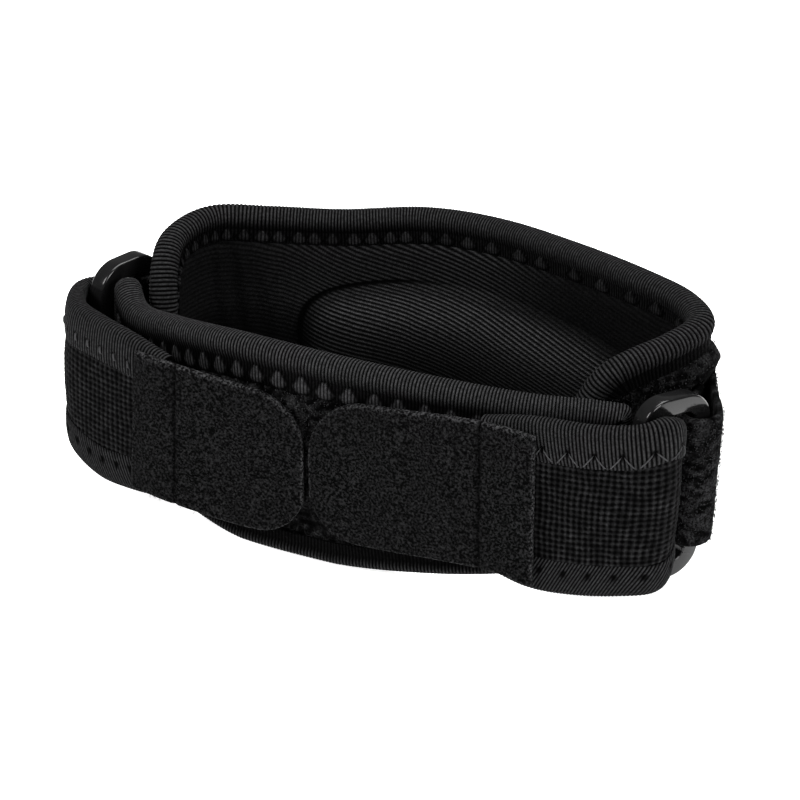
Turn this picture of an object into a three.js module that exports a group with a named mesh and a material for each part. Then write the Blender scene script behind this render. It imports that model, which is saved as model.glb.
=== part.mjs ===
// Elbow brace: a forearm strap of two padded panels, joined at each end by an elastic strap
// that runs through a plastic ring and folds back over the front to a hook tab.
// Millimetres. X runs along the long side, Y away from the front, Z up from the surface it stands on.
import * as THREE from 'three';

// Middle of the loop in the plan tables below: the model's origin lies there
const PLAN_CENTRE = { x: 1.414, y: 0.887 };

// Clearance between pieces that lie on each other
const GAP = 0.3;

// Half thicknesses of the layers
const PANEL_HALF = 1.8;
const STRAP_HALF = 1.0;
const TAB_HALF = 0.8;
const KEEPER_HALF = 0.8;

// Folded knit edge bindings: half is half the overall thickness, slot half the space for the cloth,
// leg the width on each face, edge the wall over the cloth's rim, flat and shoulder the round of the roll
const PANEL_BINDING = { half: 3.2, slot: 2.35, leg: 8.5, edge: 1.4, flat: 1.2, shoulder: 2.0 };
const STRAP_BINDING = { half: 2.1, slot: 1.3, leg: 9.0, edge: 0.9, flat: 0.8, shoulder: 1.3 };

// Corner radii seen from the front
const PANEL_CORNER = 11;
const LINING_CORNER = 4;
const TAB_CORNER = 12;

// Ribbed lining, and the pad that it covers: the middle of the pad in the plan and its height, its half
// length and half height, how far it stands out, how square and how full it is, the share of the bulge
// that it fills and its clearance under the lining
const LINING = 1.0;
const LINING_ROWS = 12;
const PAD = {
  x: 12, z: 28, halfLength: 51, halfHeight: 15.8,
  rise: 12, round: 2.8, fullness: 0.6, fill: 0.88,
};
const PAD_CLEARANCE = 1.6;
const PAD_SIDES = 28;
const PAD_RINGS = [PAD.fill, 0.8, 0.65, 0.45, 0.2];

// Plastic rings: half the bar's section across the ring's plane and in it, its bevel, the corner radius, the
// height of the bar axes, and the plan of the front and back bars with the lift of the front bar's top
const RING = { across: 2.2, radial: 2.3, bevel: 1.0, corner: 5, low: 5, high: 50.5 };
const RING_PLACES = {
  left: { front: [-72.9, -10.4], back: [-67.9, 3.8], lift: 0 },
  right: { front: [72.4, -21.2], back: [79.9, -7.6], lift: 1.6 },
};

// The lower edges of both ends are drawn to one side below the pivot height: shift in X and Y for each
// millimetre below it, growing from no shift at |X| = from to the whole of it at |X| = to
const LEAN = { pivot: 50, from: 45, to: 80, left: [-0.035, 0], right: [-0.085, 0.085] };

// Plan tables, with columns x, y, bottom, top and, on the straps, bow (bulge at mid height)
const BACK_ROWS = [
  [-56, -10.9, 6.6, 52.9], [-59, -4.6, 3.8, 57.4], [-59.9, 4.2, 1, 60.3], [-55.4, 14.5, 0, 61.5],
  [-43, 21, 0, 61], [-27, 27.5, 0, 60.6], [-8, 35, 0, 61.7], [11, 36, 0, 62], [33, 30, 0, 62.8],
  [54, 22, 0, 63.6], [66, 17.4, 0, 63], [72.4, 10.4, 0.5, 61.8], [69.1, 1, 1.5, 60.2],
  [63.7, -6.6, 4, 58.6], [57.6, -12.8, 8, 55.6], [51.8, -16.6, 11, 52],
];
const FRONT_ROWS = [
  [-67.6, -8.4, 9.5, 52.4], [-59.5, -17, 7, 49], [-46, -23.5, 4, 51], [-25, -29.5, 0, 54],
  [0, -31, 0, 54], [25, -30, 3, 53.4], [45, -26, 6, 51.9], [58.8, -21.2, 7.5, 51], [67.8, -18, 10.1, 50],
];
const STRAP_ROWS = {
  left: [
    [-68, -7.9, 10.1, 47.4, 0], [-72, -5.4, 10.1, 47.4, 0], [-76.4, -6.8, 9.6, 47.6, 1.3],
    [-78, -12, 8.2, 47.9, 2.3], [-73.2, -21, 7.8, 48.4, 1.9], [-64, -26.6, 5.8, 48.6, 0.8],
    [-54, -30.4, 6.6, 48, 0], [-43, -33.2, 8.2, 45.6, 0],
  ],
  right: [
    [69.2, -16.9, 10.1, 47.9, 0], [73.2, -15.6, 10.1, 47.9, 0], [77.6, -16.9, 9.8, 48.1, 0.6],
    [79.5, -21.2, 7.2, 51.6, 1.6], [79, -26, 6, 53.8, 1.8], [74.2, -30.2, 6.4, 52.6, 1.2],
    [64, -32.8, 6.4, 51.6, 0.5], [50, -33.6, 7.1, 51, 0], [37.5, -33.3, 10.4, 48.4, 0],
  ],
};
const TAB_ROWS = {
  left: [
    [-53.4, -34, 9.2, 46.3], [-42, -36.8, 9, 46.3], [-23, -36.5, 7, 44.4], [-7, -35.4, 7, 42.4],
  ],
  right: [
    [52, -36.9, 8.8, 48], [43, -37, 10.6, 48.8], [32, -36.8, 10.5, 48.4], [14, -36, 9, 46.4],
    [-5.5, -35.3, 8, 44.8],
  ],
};

// Keepers: the plan of the leg sewn to the back panel, and of the leg that returns beside it from the
// turn round the ring's back bar; the slack of the turn and how far its middle lies beside the bar's
const KEEPER = { bottom: 11.6, top: 46.8, turnPoints: 6 };
const KEEPER_PLANS = {
  left: {
    outer: [[-44.2, 23.8], [-51.2, 21.2], [-57.7, 16.8], [-64.5, 11.8]],
    inner: [[-63.4, 9], [-62.2, 11]],
    slack: 0.3,
    beside: 0,
  },
  right: {
    outer: [[60.2, 23.1], [67.5, 20.4], [74.2, 15.2], [79, 5.2]],
    inner: [[76, 0.6], [75.8, 4.8]],
    slack: 0.9,
    beside: 0.7,
  },
};

// Spacing of the sections along each kind of piece, and the arc steps of round corners
const STEP = { panel: 4.7, strap: 3, tab: 6, keeper: 2 };
const CORNER_STEPS = 4;

// Distance to each side over which an edge's slope is read
const SLOPE_REACH = 1;

const COLOURS = {
  pile: [0x151516, 0.95],
  binding: [0x17171a, 0.85],
  lining: [0x131314, 0.8],
  foam: [0x1c1c1e, 0.9],
  knit: [0x161617, 0.9],
  felt: [0x1f2022, 1.0],
  plastic: [0x0b0b0c, 0.25],
};

/** A point moved by the slant of the end that it lies on. */
function leaned(x, y, z) {
  const [dx, dy] = x > 0 ? LEAN.right : LEAN.left;
  const share = THREE.MathUtils.smoothstep(Math.abs(x), LEAN.from, LEAN.to) * (LEAN.pivot - z);
  return new THREE.Vector3(x + dx * share, y + dy * share, z);
}

/** The run of a band of cloth: its plan curve and its edges, read by the distance along it. */
class Course {
  /** side is 1 where the outer face lies to the left of the run, -1 where it lies to the right. */
  constructor(rows, side) {
    const smooth = (points) => new THREE.CatmullRomCurve3(points, false, 'catmullrom', 0.5);
    this.plan = smooth(rows.map(([x, y]) => new THREE.Vector3(x, y, 0)));
    this.edges = smooth(rows.map(([, , bottom, top, bow = 0]) => new THREE.Vector3(bottom, top, bow)));
    this.plan.arcLengthDivisions = 600;
    this.length = this.plan.getLength();
    this.side = side;
  }

  at(s) {
    const share = THREE.MathUtils.clamp(s / this.length, 0, 1);
    const t = this.plan.getUtoTmapping(share);
    const { x, y } = this.plan.getPoint(t);
    const tangent = this.plan.getTangent(t);
    const edge = this.edges.getPoint(t);
    const normal = [-tangent.y * this.side, tangent.x * this.side];
    return { x, y, normal, bottom: Math.max(0, edge.x), top: edge.y, bow: edge.z };
  }

  /** The point at distance s along the run, n out of its middle plane, at height z. */
  point(s, n, z) {
    const { x, y, normal, bottom, top, bow } = this.at(s);
    const h = (z - bottom) / (top - bottom);
    const out = n + bow * 4 * h * (1 - h);
    return leaned(x + out * normal[0], y + out * normal[1], z);
  }

  /** How much longer the top or bottom edge is than the run below it, for its slope at s. */
  stretch(s, edge) {
    const rise = this.at(s + SLOPE_REACH)[edge] - this.at(s - SLOPE_REACH)[edge];
    return Math.hypot(1, rise / (2 * SLOPE_REACH));
  }

  /** Distances along the run from one inset end to the other, closer together over round corners. */
  stations(step, inset = 0, corner = 0) {
    const low = inset + corner;
    const high = this.length - inset - corner;
    const count = Math.ceil((high - low) / step);
    const middle = Array.from({ length: count + 1 }, (_, i) => low + ((high - low) * i) / count);
    if (corner === 0) return middle;
    const bend = Array.from({ length: CORNER_STEPS }, (_, i) => {
      return corner * (1 - Math.cos((i / CORNER_STEPS) * (Math.PI / 2)));
    });
    return [...bend.map((d) => inset + d), ...middle, ...bend.reverse().map((d) => this.length - inset - d)];
  }

  /** Distance along the run where it passes closest to the given X on its outer half. */
  distanceAtX(x) {
    const trial = Array.from({ length: 601 }, (_, i) => (this.length * i) / 600);
    const miss = (s) => Math.abs(this.at(s).x - x) + (this.at(s).y < 0 ? this.length : 0);
    return trial.reduce((best, s) => (miss(s) < miss(best) ? s : best));
  }
}

/** How far an edge drops at distance d from a corner of radius r. */
function cornerDrop(d, r) {
  return d >= r ? 0 : r - Math.sqrt(r * r - (r - d) * (r - d));
}

/** Closed solid through equal loops of points: round, or capped by its first and last loop's flat outline. */
function loft(loops, capOutlines) {
  const count = loops[0].length;
  const positions = loops.flat().flatMap((p) => [p.x, p.y, p.z]);
  const index = [];
  const spans = capOutlines ? loops.length - 1 : loops.length;
  for (let i = 0; i < spans; i++) {
    const here = i * count;
    const next = ((i + 1) % loops.length) * count;
    for (let k = 0; k < count; k++) {
      const m = (k + 1) % count;
      index.push(here + k, next + k, next + m, here + k, next + m, here + m);
    }
  }
  if (capOutlines) {
    const [first, last] = capOutlines.map((outline) => flatTriangles(outline));
    const end = (loops.length - 1) * count;
    for (const [a, b, c] of first) index.push(a, b, c);
    for (const [a, b, c] of last) index.push(end + a, end + c, end + b);
  }
  return facingOut(positions, index);
}

/** Triangles of a flat outline of [n, z] pairs, turned to run the way the outline runs. */
function flatTriangles(outline) {
  const flat = outline.map(([n, z]) => new THREE.Vector2(n, z));
  const runsLeft = THREE.ShapeUtils.area(flat) > 0;
  return THREE.ShapeUtils.triangulateShape(flat, []).map(([a, b, c]) => {
    const turn = THREE.ShapeUtils.area([flat[a], flat[b], flat[c]]) > 0;
    return turn === runsLeft ? [a, b, c] : [a, c, b];
  });
}

/** Geometry from points and triangles, all turned round if they enclose a negative volume. */
function facingOut(positions, index) {
  const p = (i) => new THREE.Vector3().fromArray(positions, 3 * i);
  let volume = 0;
  for (let i = 0; i < index.length; i += 3) {
    volume += p(index[i]).dot(p(index[i + 1]).cross(p(index[i + 2])));
  }
  const geometry = new THREE.BufferGeometry();
  geometry.setAttribute('position', new THREE.Float32BufferAttribute(positions, 3));
  geometry.setIndex(volume > 0 ? index : index.reverse());
  geometry.computeVertexNormals();
  return geometry;
}

/**
 * Band of cloth between two faces. inner and outer give each face's distance n from the middle plane at
 * (s, z), inset shortens it on every side, corner rounds its ends and rows divides its height.
 */
function plate(course, faces) {
  const { inner, outer, step, inset = 0, endInset = inset, corner = 0, rows = 1, ends = [1, 1] } = faces;
  const outlines = [];
  const loops = course.stations(step, endInset, corner).map((s) => {
    const { bottom, top } = course.at(s);
    const toEnd = [s - endInset, course.length - endInset - s];
    const drop = Math.max(...ends.map((round, e) => (round ? cornerDrop(toEnd[e], corner) : 0)));
    const low = bottom + inset * course.stretch(s, 'bottom') + drop;
    const high = top - inset * course.stretch(s, 'top') - drop;
    const heights = Array.from({ length: rows + 1 }, (_, i) => low + ((high - low) * i) / rows);
    const outline = [
      ...heights.map((z) => [inner(s, z), z]),
      ...heights.reverse().map((z) => [outer(s, z), z]),
    ];
    outlines.push(outline);
    return outline.map(([n, z]) => course.point(s, n, z));
  });
  return loft(loops, [outlines[0], outlines.at(-1)]);
}

/** Section of a folded binding as [n, inward] pairs, from the rim of the cloth inwards. */
function bindingSection({ half, slot, leg, edge, flat, shoulder }) {
  const bend = [(half + flat) / 2, shoulder / 4];
  const face = [[flat, 0], bend, [half, shoulder], [half, leg], [slot, leg], [slot, edge]];
  return [...face, ...face.map(([n, inward]) => [-n, inward]).reverse()];
}

/** Binding along the top or the bottom edge of a course. */
function edgeBinding(course, binding, edge, step) {
  const outlines = [];
  const loops = course.stations(step).map((s) => {
    const { bottom, top } = course.at(s);
    const outline = bindingSection(binding).map(([n, inward]) => {
      return [n, edge === 'top' ? top - inward : bottom + inward];
    });
    outlines.push(outline);
    return outline.map(([n, z]) => course.point(s, n, z));
  });
  return loft(loops, [outlines[0], outlines.at(-1)]);
}

/** Binding all round a course with round corners: its outline in distance and height, then its section. */
function roundBinding(course, binding, corner, step) {
  const stations = course.stations(step, 0, corner);
  const dropAt = (s) => Math.max(cornerDrop(s, corner), cornerDrop(course.length - s, corner));
  const upper = stations.map((s) => [s, course.at(s).top - dropAt(s)]);
  const lower = stations.map((s) => [s, course.at(s).bottom + dropAt(s)]).reverse();
  const rim = [...upper, ...lower];
  const loops = rim.map(([s, z], i) => {
    const before = rim.at(i - 1);
    const after = rim[(i + 1) % rim.length];
    const along = new THREE.Vector2(after[0] - before[0], after[1] - before[1]).normalize();
    return bindingSection(binding).map(([n, inward]) => {
      return course.point(s + along.y * inward, n, z - along.x * inward);
    });
  });
  return loft(loops, null);
}

/** Height of the pad's bulge under the lining at (s, z). */
function padBulge(course, s, z) {
  const across = Math.abs((s - course.distanceOfPad) / PAD.halfLength);
  const up = Math.abs((z - PAD.z) / PAD.halfHeight);
  const rim = across ** PAD.round + up ** PAD.round;
  return rim >= 1 ? 0 : PAD.rise * (1 - rim) ** PAD.fullness;
}

/** Moulded pad on the panel's inner face, under the lining. */
function padGeometry(course, seat) {
  const rimPoint = (share, k) => {
    const angle = (2 * Math.PI * k) / PAD_SIDES;
    const [c, s] = [Math.cos(angle), Math.sin(angle)];
    const reach = share / (Math.abs(c) ** PAD.round + Math.abs(s) ** PAD.round) ** (1 / PAD.round);
    return [course.distanceOfPad + PAD.halfLength * reach * c, PAD.z + PAD.halfHeight * reach * s];
  };
  const ringLoop = (share, depth) => Array.from({ length: PAD_SIDES }, (_, k) => {
    const [s, z] = rimPoint(share, k);
    return course.point(s, -depth(s, z), z);
  });
  const crown = (s, z) => seat + Math.max(padBulge(course, s, z) - PAD_CLEARANCE, GAP);
  const base = PAD_RINGS.map((share) => ringLoop(share, () => seat)).reverse();
  const loops = [...base, ...PAD_RINGS.map((share) => ringLoop(share, crown))];
  const outline = Array.from({ length: PAD_SIDES }, (_, k) => rimPoint(PAD_RINGS.at(-1), k));
  return loft(loops, [outline, outline]);
}

/** Rectangular ring with round corners, standing between its front and back bars. */
function ringGeometry({ front, back, lift }) {
  const width = Math.hypot(back[0] - front[0], back[1] - front[1]);
  const run = [(back[0] - front[0]) / width, (back[1] - front[1]) / width];
  const { across: thick, radial: tall, bevel, corner, low, high } = RING;
  const [flat, side] = [thick - bevel, tall - bevel];
  const section = [
    [thick, side], [flat, tall], [-flat, tall], [-thick, side],
    [-thick, -side], [-flat, -tall], [flat, -tall], [thick, -side],
  ];
  const centres = [
    [width - corner, high - corner], [corner, high - corner],
    [corner, low + corner], [width - corner, low + corner],
  ];
  const loops = centres.flatMap(([u, v], quarter) => Array.from({ length: CORNER_STEPS + 1 }, (_, i) => {
    const angle = (quarter + i / CORNER_STEPS) * (Math.PI / 2);
    return section.map(([across, radial]) => {
      const along = u + (corner + radial) * Math.cos(angle);
      const level = v + (corner + radial) * Math.sin(angle);
      const z = level + lift * (1 - along / width) * ((level - low) / (high - low));
      return leaned(
        front[0] + along * run[0] - across * run[1],
        front[1] + along * run[1] + across * run[0],
        z,
      );
    });
  }));
  return loft(loops, null);
}

/** Rows of a keeper: along the panel, round the ring's back bar and back beside the panel. */
function keeperRows({ outer, inner, slack, beside }, [ringX, barY], side) {
  const barX = ringX + beside;
  const reach = Math.hypot(RING.radial, RING.across - RING.bevel) + GAP + KEEPER_HALF + slack;
  const touch = ([x, y], way) => {
    const away = Math.hypot(x - barX, y - barY);
    return Math.atan2(y - barY, x - barX) + way * Math.acos(reach / away);
  };
  const start = touch(outer.at(-1), -side);
  const swept = THREE.MathUtils.euclideanModulo(side * (start - touch(inner[0], side)), 2 * Math.PI);
  const wrap = Array.from({ length: KEEPER.turnPoints }, (_, i) => {
    const angle = start - (side * swept * i) / (KEEPER.turnPoints - 1);
    return [barX + reach * Math.cos(angle), barY + reach * Math.sin(angle)];
  });
  return [...outer, ...wrap, ...inner].map(([x, y]) => [x, y, KEEPER.bottom, KEEPER.top]);
}

const brace = new THREE.Group();
brace.position.set(-PLAN_CENTRE.x, -PLAN_CENTRE.y, 0);

/** Adds one named piece to the brace. */
function add(name, geometry, [color, roughness]) {
  const mesh = new THREE.Mesh(geometry, new THREE.MeshStandardMaterial({ color, roughness, metalness: 0 }));
  mesh.name = name;
  brace.add(mesh);
}

/** Face functions of a flat layer between two distances from the middle plane. */
const flatLayer = (inner, outer) => ({ inner: () => inner, outer: () => outer });

// Back panel with its binding, lining and pad; the inner face looks into the loop
const back = new Course(BACK_ROWS, 1);
back.distanceOfPad = back.distanceAtX(PAD.x);
const panelInset = PANEL_BINDING.edge + 2 * GAP;
const liningInset = PANEL_BINDING.leg + GAP;
const liningSeat = PANEL_BINDING.slot;
add('back_panel', plate(back, {
  ...flatLayer(-PANEL_HALF, PANEL_HALF),
  step: STEP.panel,
  inset: panelInset,
  corner: PANEL_CORNER - panelInset,
}), COLOURS.pile);
add('back_binding', roundBinding(back, PANEL_BINDING, PANEL_CORNER, STEP.panel), COLOURS.binding);
add('inner_lining', plate(back, {
  inner: (s, z) => -liningSeat - LINING - padBulge(back, s, z),
  outer: (s, z) => -liningSeat - padBulge(back, s, z),
  step: STEP.panel,
  inset: liningInset,
  endInset: liningInset + LINING_CORNER / 2,
  corner: LINING_CORNER,
  rows: LINING_ROWS,
}), COLOURS.lining);
add('pressure_pad', padGeometry(back, liningSeat), COLOURS.foam);

// Front panel with its two bindings; the outer face carries the hook tabs
const front = new Course(FRONT_ROWS, -1);
add('front_panel', plate(front, {
  ...flatLayer(-PANEL_HALF, PANEL_HALF),
  step: STEP.panel,
  inset: panelInset,
  endInset: 0,
}), COLOURS.pile);
for (const edge of ['top', 'bottom']) {
  add(`front_binding_${edge}`, edgeBinding(front, PANEL_BINDING, edge, STEP.panel), COLOURS.binding);
}

// At each end a strap with two bindings, its hook tab, its ring and the keeper that holds the ring
for (const [end, side] of [['left', -1], ['right', 1]]) {
  const strap = new Course(STRAP_ROWS[end], side);
  add(`strap_${end}`, plate(strap, {
    ...flatLayer(-STRAP_HALF, STRAP_HALF),
    step: STEP.strap,
    inset: STRAP_BINDING.edge + GAP,
    endInset: 0,
    rows: 4,
  }), COLOURS.knit);
  for (const edge of ['top', 'bottom']) {
    add(`strap_${end}_binding_${edge}`, edgeBinding(strap, STRAP_BINDING, edge, STEP.strap), COLOURS.binding);
  }
  const tab = new Course(TAB_ROWS[end], side);
  add(`hook_tab_${end}`, plate(tab, {
    ...flatLayer(-TAB_HALF, TAB_HALF),
    step: STEP.tab,
    corner: TAB_CORNER,
    ends: [0, 1],
  }), COLOURS.felt);
  add(`ring_${end}`, ringGeometry(RING_PLACES[end]), COLOURS.plastic);
  const keeper = new Course(keeperRows(KEEPER_PLANS[end], RING_PLACES[end].back, side), side);
  add(`keeper_${end}`, plate(keeper, {
    ...flatLayer(-KEEPER_HALF, KEEPER_HALF),
    step: STEP.keeper,
  }), COLOURS.pile);
}

export default brace;
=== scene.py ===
"""Elbow brace: cloth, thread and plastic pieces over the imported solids, with a floor, lights and a camera.

Tables are in millimetres, in the plan that the solids were drawn in: X along the long side, Y away from the
front, Z up from the floor. A band of cloth is a Course: a point of it is read by s along it, n out and z up.
"""

import math

import bmesh
import bpy
import numpy as np
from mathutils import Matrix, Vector


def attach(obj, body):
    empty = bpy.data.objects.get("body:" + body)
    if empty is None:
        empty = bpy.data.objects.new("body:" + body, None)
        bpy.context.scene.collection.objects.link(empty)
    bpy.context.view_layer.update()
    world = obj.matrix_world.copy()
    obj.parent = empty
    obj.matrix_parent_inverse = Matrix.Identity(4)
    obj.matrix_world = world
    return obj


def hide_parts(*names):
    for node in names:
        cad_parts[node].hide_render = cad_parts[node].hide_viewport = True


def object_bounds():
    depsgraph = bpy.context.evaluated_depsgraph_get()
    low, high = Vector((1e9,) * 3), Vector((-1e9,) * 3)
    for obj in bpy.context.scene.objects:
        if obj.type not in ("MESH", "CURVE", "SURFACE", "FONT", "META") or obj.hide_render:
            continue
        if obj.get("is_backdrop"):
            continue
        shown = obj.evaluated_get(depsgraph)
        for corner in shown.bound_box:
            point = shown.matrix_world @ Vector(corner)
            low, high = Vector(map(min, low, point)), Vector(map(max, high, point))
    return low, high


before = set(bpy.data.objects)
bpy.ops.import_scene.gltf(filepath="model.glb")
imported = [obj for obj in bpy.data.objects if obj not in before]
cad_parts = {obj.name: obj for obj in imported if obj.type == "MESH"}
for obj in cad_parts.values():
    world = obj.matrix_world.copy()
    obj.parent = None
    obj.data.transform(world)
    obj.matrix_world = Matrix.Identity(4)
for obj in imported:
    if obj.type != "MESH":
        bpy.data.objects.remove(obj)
cad_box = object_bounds()

MM = 0.001
PLAN_CENTRE = np.array([1.414, 0.887, 0.0])
UV_NAME = "Cloth"
# Attribute with each piece's painted shading: painted shade in gaps, grooves, hollows and shaded places,
# light on crests
PAINTED_SHADING = "Painted shading"
WELD = 1e-7
GRID_HALF = 0.5
LATTICE = (97, 89)
WHITE = (1, 1, 1, 1)

# Half thicknesses of the layers and the clearance between them
PANEL_HALF = 1.8
STRAP_HALF = 1.0
TAB_HALF = 0.8
KEEPER_HALF = 0.8
GAP = 0.3

# The lower edges of both ends are drawn to one side below the pivot height
LEAN = {"pivot": 50, "from": 45, "to": 80, "left": (-0.035, 0.0), "right": (-0.085, 0.085)}

# Plan tables, with columns x, y, bottom, top and, on the straps, bow (bulge at mid height)
BACK_ROWS = [
    (-56, -10.9, 6.6, 52.9), (-59, -4.6, 3.8, 57.4), (-59.9, 4.2, 1, 60.3), (-55.4, 14.5, 0, 61.5),
    (-43, 21, 0, 61), (-27, 27.5, 0, 60.6), (-8, 35, 0, 61.7), (11, 36, 0, 62), (33, 30, 0, 62.8),
    (54, 22, 0, 63.6), (66, 17.4, 0, 63), (72.4, 10.4, 0.5, 61.8), (69.1, 1, 1.5, 60.2),
    (63.7, -6.6, 4, 58.6), (57.6, -12.8, 8, 55.6), (51.8, -16.6, 11, 52),
]
FRONT_ROWS = [
    (-67.6, -8.4, 9.5, 52.4), (-59.5, -17, 7, 49), (-46, -23.5, 4, 51), (-25, -29.5, 0, 54),
    (0, -31, 0, 54), (25, -30, 3, 53.4), (45, -26, 6, 51.9), (58.8, -21.2, 7.5, 51),
    (67.8, -18, 10.1, 50),
]
STRAP_ROWS = {
    "left": [
        (-68, -7.9, 10.1, 47.4, 0), (-72, -5.4, 10.1, 47.4, 0), (-76.4, -6.8, 9.6, 47.6, 1.3),
        (-78, -12, 8.2, 47.9, 2.3), (-73.2, -21, 7.8, 48.4, 1.9), (-64, -26.6, 5.8, 48.6, 0.8),
        (-54, -30.4, 6.6, 48, 0), (-43, -33.2, 8.2, 45.6, 0),
    ],
    "right": [
        (69.2, -16.9, 10.1, 47.9, 0), (73.2, -15.6, 10.1, 47.9, 0), (77.6, -16.9, 9.8, 48.1, 0.6),
        (79.5, -21.2, 7.2, 51.6, 1.6), (79, -26, 6, 53.8, 1.8), (74.2, -30.2, 6.4, 52.6, 1.2),
        (64, -32.8, 6.4, 51.6, 0.5), (50, -33.6, 7.1, 51, 0), (37.5, -33.3, 10.4, 48.4, 0),
    ],
}
TAB_ROWS = {
    "left": [
        (-53.4, -34, 9.2, 46.3), (-42, -36.8, 9, 46.3), (-23, -36.5, 7, 44.4), (-7, -35.4, 7, 42.4),
    ],
    "right": [
        (52, -36.9, 8.8, 48), (43, -37, 10.6, 48.8), (32, -36.8, 10.5, 48.4), (14, -36, 9, 46.4),
        (-5.5, -35.3, 8, 44.8),
    ],
}

# Side of the run on which a band's outer face lies, by end of the brace and by panel: 1 is left of the run
SIDES = {"left": -1, "right": 1}
BACK_SIDE = 1
FRONT_SIDE = -1

# Seeds of the panels, of the fibres on them, and of the tabs and keepers, whose fibres follow by a step
SEEDS = {
    "back_panel": 11, "front_panel": 12, "back_fibres": 21, "front_fibres": 23,
    "tab": {"left": 31, "right": 51}, "keeper": {"left": 41, "right": 61},
}
FIBRE_SEED_STEP = 5

# Plastic rings: the bar's half section across and along the ring's plane, its edge round, the corner radius
# and the heights of the bar axes; the plan of the front and back bars and the lift of the front bar's top;
# steps round an edge and a corner and along a side
RING = {"across": 2.2, "radial": 2.3, "edge": 0.6, "corner": 5, "low": 5, "high": 50.5}
RING_PLACES = {
    "left": ((-72.9, -10.4), (-67.9, 3.8), 0),
    "right": ((72.4, -21.2), (79.9, -7.6), 1.6),
}
RING_EDGE_STEPS = 5
RING_CORNER_STEPS = 14
RING_SIDE_STEPS = 12

# Keepers: heights of the edges, points of the turn round the bar, length of the leg without fibres, width of
# the rounded edge, least share of the thickness there and share of the pile's lumps
KEEPER = {
    "bottom": 11.6, "top": 46.8, "turn_points": 6, "hidden_leg": 12, "edge": 0.6, "least": 0.5, "lumpy": 0.5,
}

# Plans of the keepers: the leg sewn to the back panel, the leg that returns from the turn round the bar, the
# reach of the turn and how far its middle lies beside the bar's
KEEPER_PLANS = {
    "left": (
        [(-44.2, 23.8), (-51.2, 21.2), (-57.7, 16.8), (-64.5, 11.8)], [(-63.4, 9), (-62.2, 11)], 3.99, 0,
    ),
    "right": (
        [(60.2, 23.1), (67.5, 20.4), (74.2, 15.2), (79, 5.2)], [(76, 0.6), (75.8, 4.8)], 4.59, 0.7,
    ),
}

# Folded knit bindings: half thickness, depth of the round roll, width of the whole leg, half of the slot for
# the cloth, wall over the cloth's rim, rib pitch round the ends and along the sides, rib depth; spacing of
# the stitched tufts from and to, the shares of the run where it changes, the face that shows them, their
# width as a share of the spacing, how uneven they are and their painted brightness; share of the width kept
# at the lower rim; painted shade of the groove under the roll and of the tufted leg between the tufts from
# and to, and painted shade over the whole binding
BACK_BINDING = {
    "half": 3.2, "roll": 4.5, "leg": 8.0, "slot": 2.37, "edge": 1.5, "pitches": (1.05, 0.76), "depth": 0.24,
    "tufts": (4.4, 9.4), "tuft_ease": (0.35, 0.6), "tuft_face": -1, "tuft_wide": (1.0, 0.6), "uneven": 0.4,
    "tuft_shade": 0.95, "low_share": 1.0, "groove": (0.45, 0.8), "tufted_leg": (0.6, 0.7), "shade": 0.92,
}
FRONT_BINDING = {
    "half": 3.2, "roll": 5.4, "leg": 10.4, "slot": 2.37, "edge": 1.5, "pitches": (0.8, 0.86), "depth": 0.2,
    "tufts": (3.9, 6.2), "tuft_ease": (0.12, 0.45), "tuft_face": 1, "tuft_wide": (1.0, 0.9), "uneven": 0.15,
    "tuft_shade": 1.0, "low_share": 0.6, "groove": (0.55, 0.55), "tufted_leg": (0.4, 0.5), "shade": 1.0,
}
SAMPLES_PER_RIB = 4

# Section of a binding's roll, columns n and inward as shares of half and roll, and the rows down its leg as
# shares; the painted shade of a leg without tufts, the share of the rib depth on a leg, how far a leg lies
# off the slot, and the share of the roll where the painted shade of the groove sets in
ROLL_SECTION = [
    (0.0, 0.0), (0.3, 0.015), (0.56, 0.085), (0.78, 0.2),
    (0.93, 0.37), (1.0, 0.57), (0.95, 0.8), (0.84, 1.0),
]
LEG_ROWS = (0.06, 0.16, 0.28, 0.42, 0.56, 0.7, 0.82, 0.92, 1.0)
PLAIN_LEG = 0.55
LEG_RIB = 0.6
LEG_LIE = 0.3
GROOVE_FROM = 0.45

# Tufts: width at the tip as a share, the share down the leg where they are widest, rise, painted shade in
# the grooves between their ribs, power by which their painted brightness fills out; range of their shift and
# loss of height where uneven; height up to which their outline is painted dark as shade, and that painted
# shade
TUFT_TIP = 0.2
TUFT_WAIST = 0.55
TUFT_STAND = 0.75
TUFT_PLAIN = 0.4
TUFT_FULL = 0.5
TUFT_SHIFT = (-0.5, 0.5)
TUFT_LOSS = (0, 0.6)
TUFT_OUTLINE_SHADE = {"height": 0.7, "shade": 0.1}

# Distances from the ends over which the rib pitch changes, height over which the upper rim gives way to the
# lower, how deep a binding reaches in a corner, and the turn between samples that makes a corner
RIB_EASE = (30, 50)
UPPER_EASE = 12
MITRE = 0.95
TURN = 0.01

# Flat strap bindings: as above, with the reach and depth of the stitch holes, whose hollows are painted dark
# as shade; for each edge the width of the leg, the distance of the holes from the rim and how far the ribs
# slant;
# the spacing of the holes by end; the section of a face, columns n and inward as shares of half and leg
STRAP_BINDING = {
    "half": 2.1, "slot": 1.1, "edge": 0.95, "pitch": 0.86, "depth": 0.17, "shade": 0.93,
    "hole": 0.6, "hole_depth": 0.5,
}
STRAP_EDGES = {
    "top": {"leg": 10.4, "holes": 6.8, "slant": 0.12},
    "bottom": {"leg": 8.8, "holes": 5.9, "slant": 0.55},
}
HOLE_SPACING = {"left": 4.6, "right": 6.4}
STRAP_SECTION = [
    (0.0, 0.0), (0.36, 0.008), (0.66, 0.035), (0.88, 0.1), (0.99, 0.2), (1.0, 0.33), (0.98, 0.45),
    (0.95, 0.54), (0.91, 0.62), (0.86, 0.7), (0.8, 0.79), (0.71, 0.9), (0.58, 1.0),
]

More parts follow.
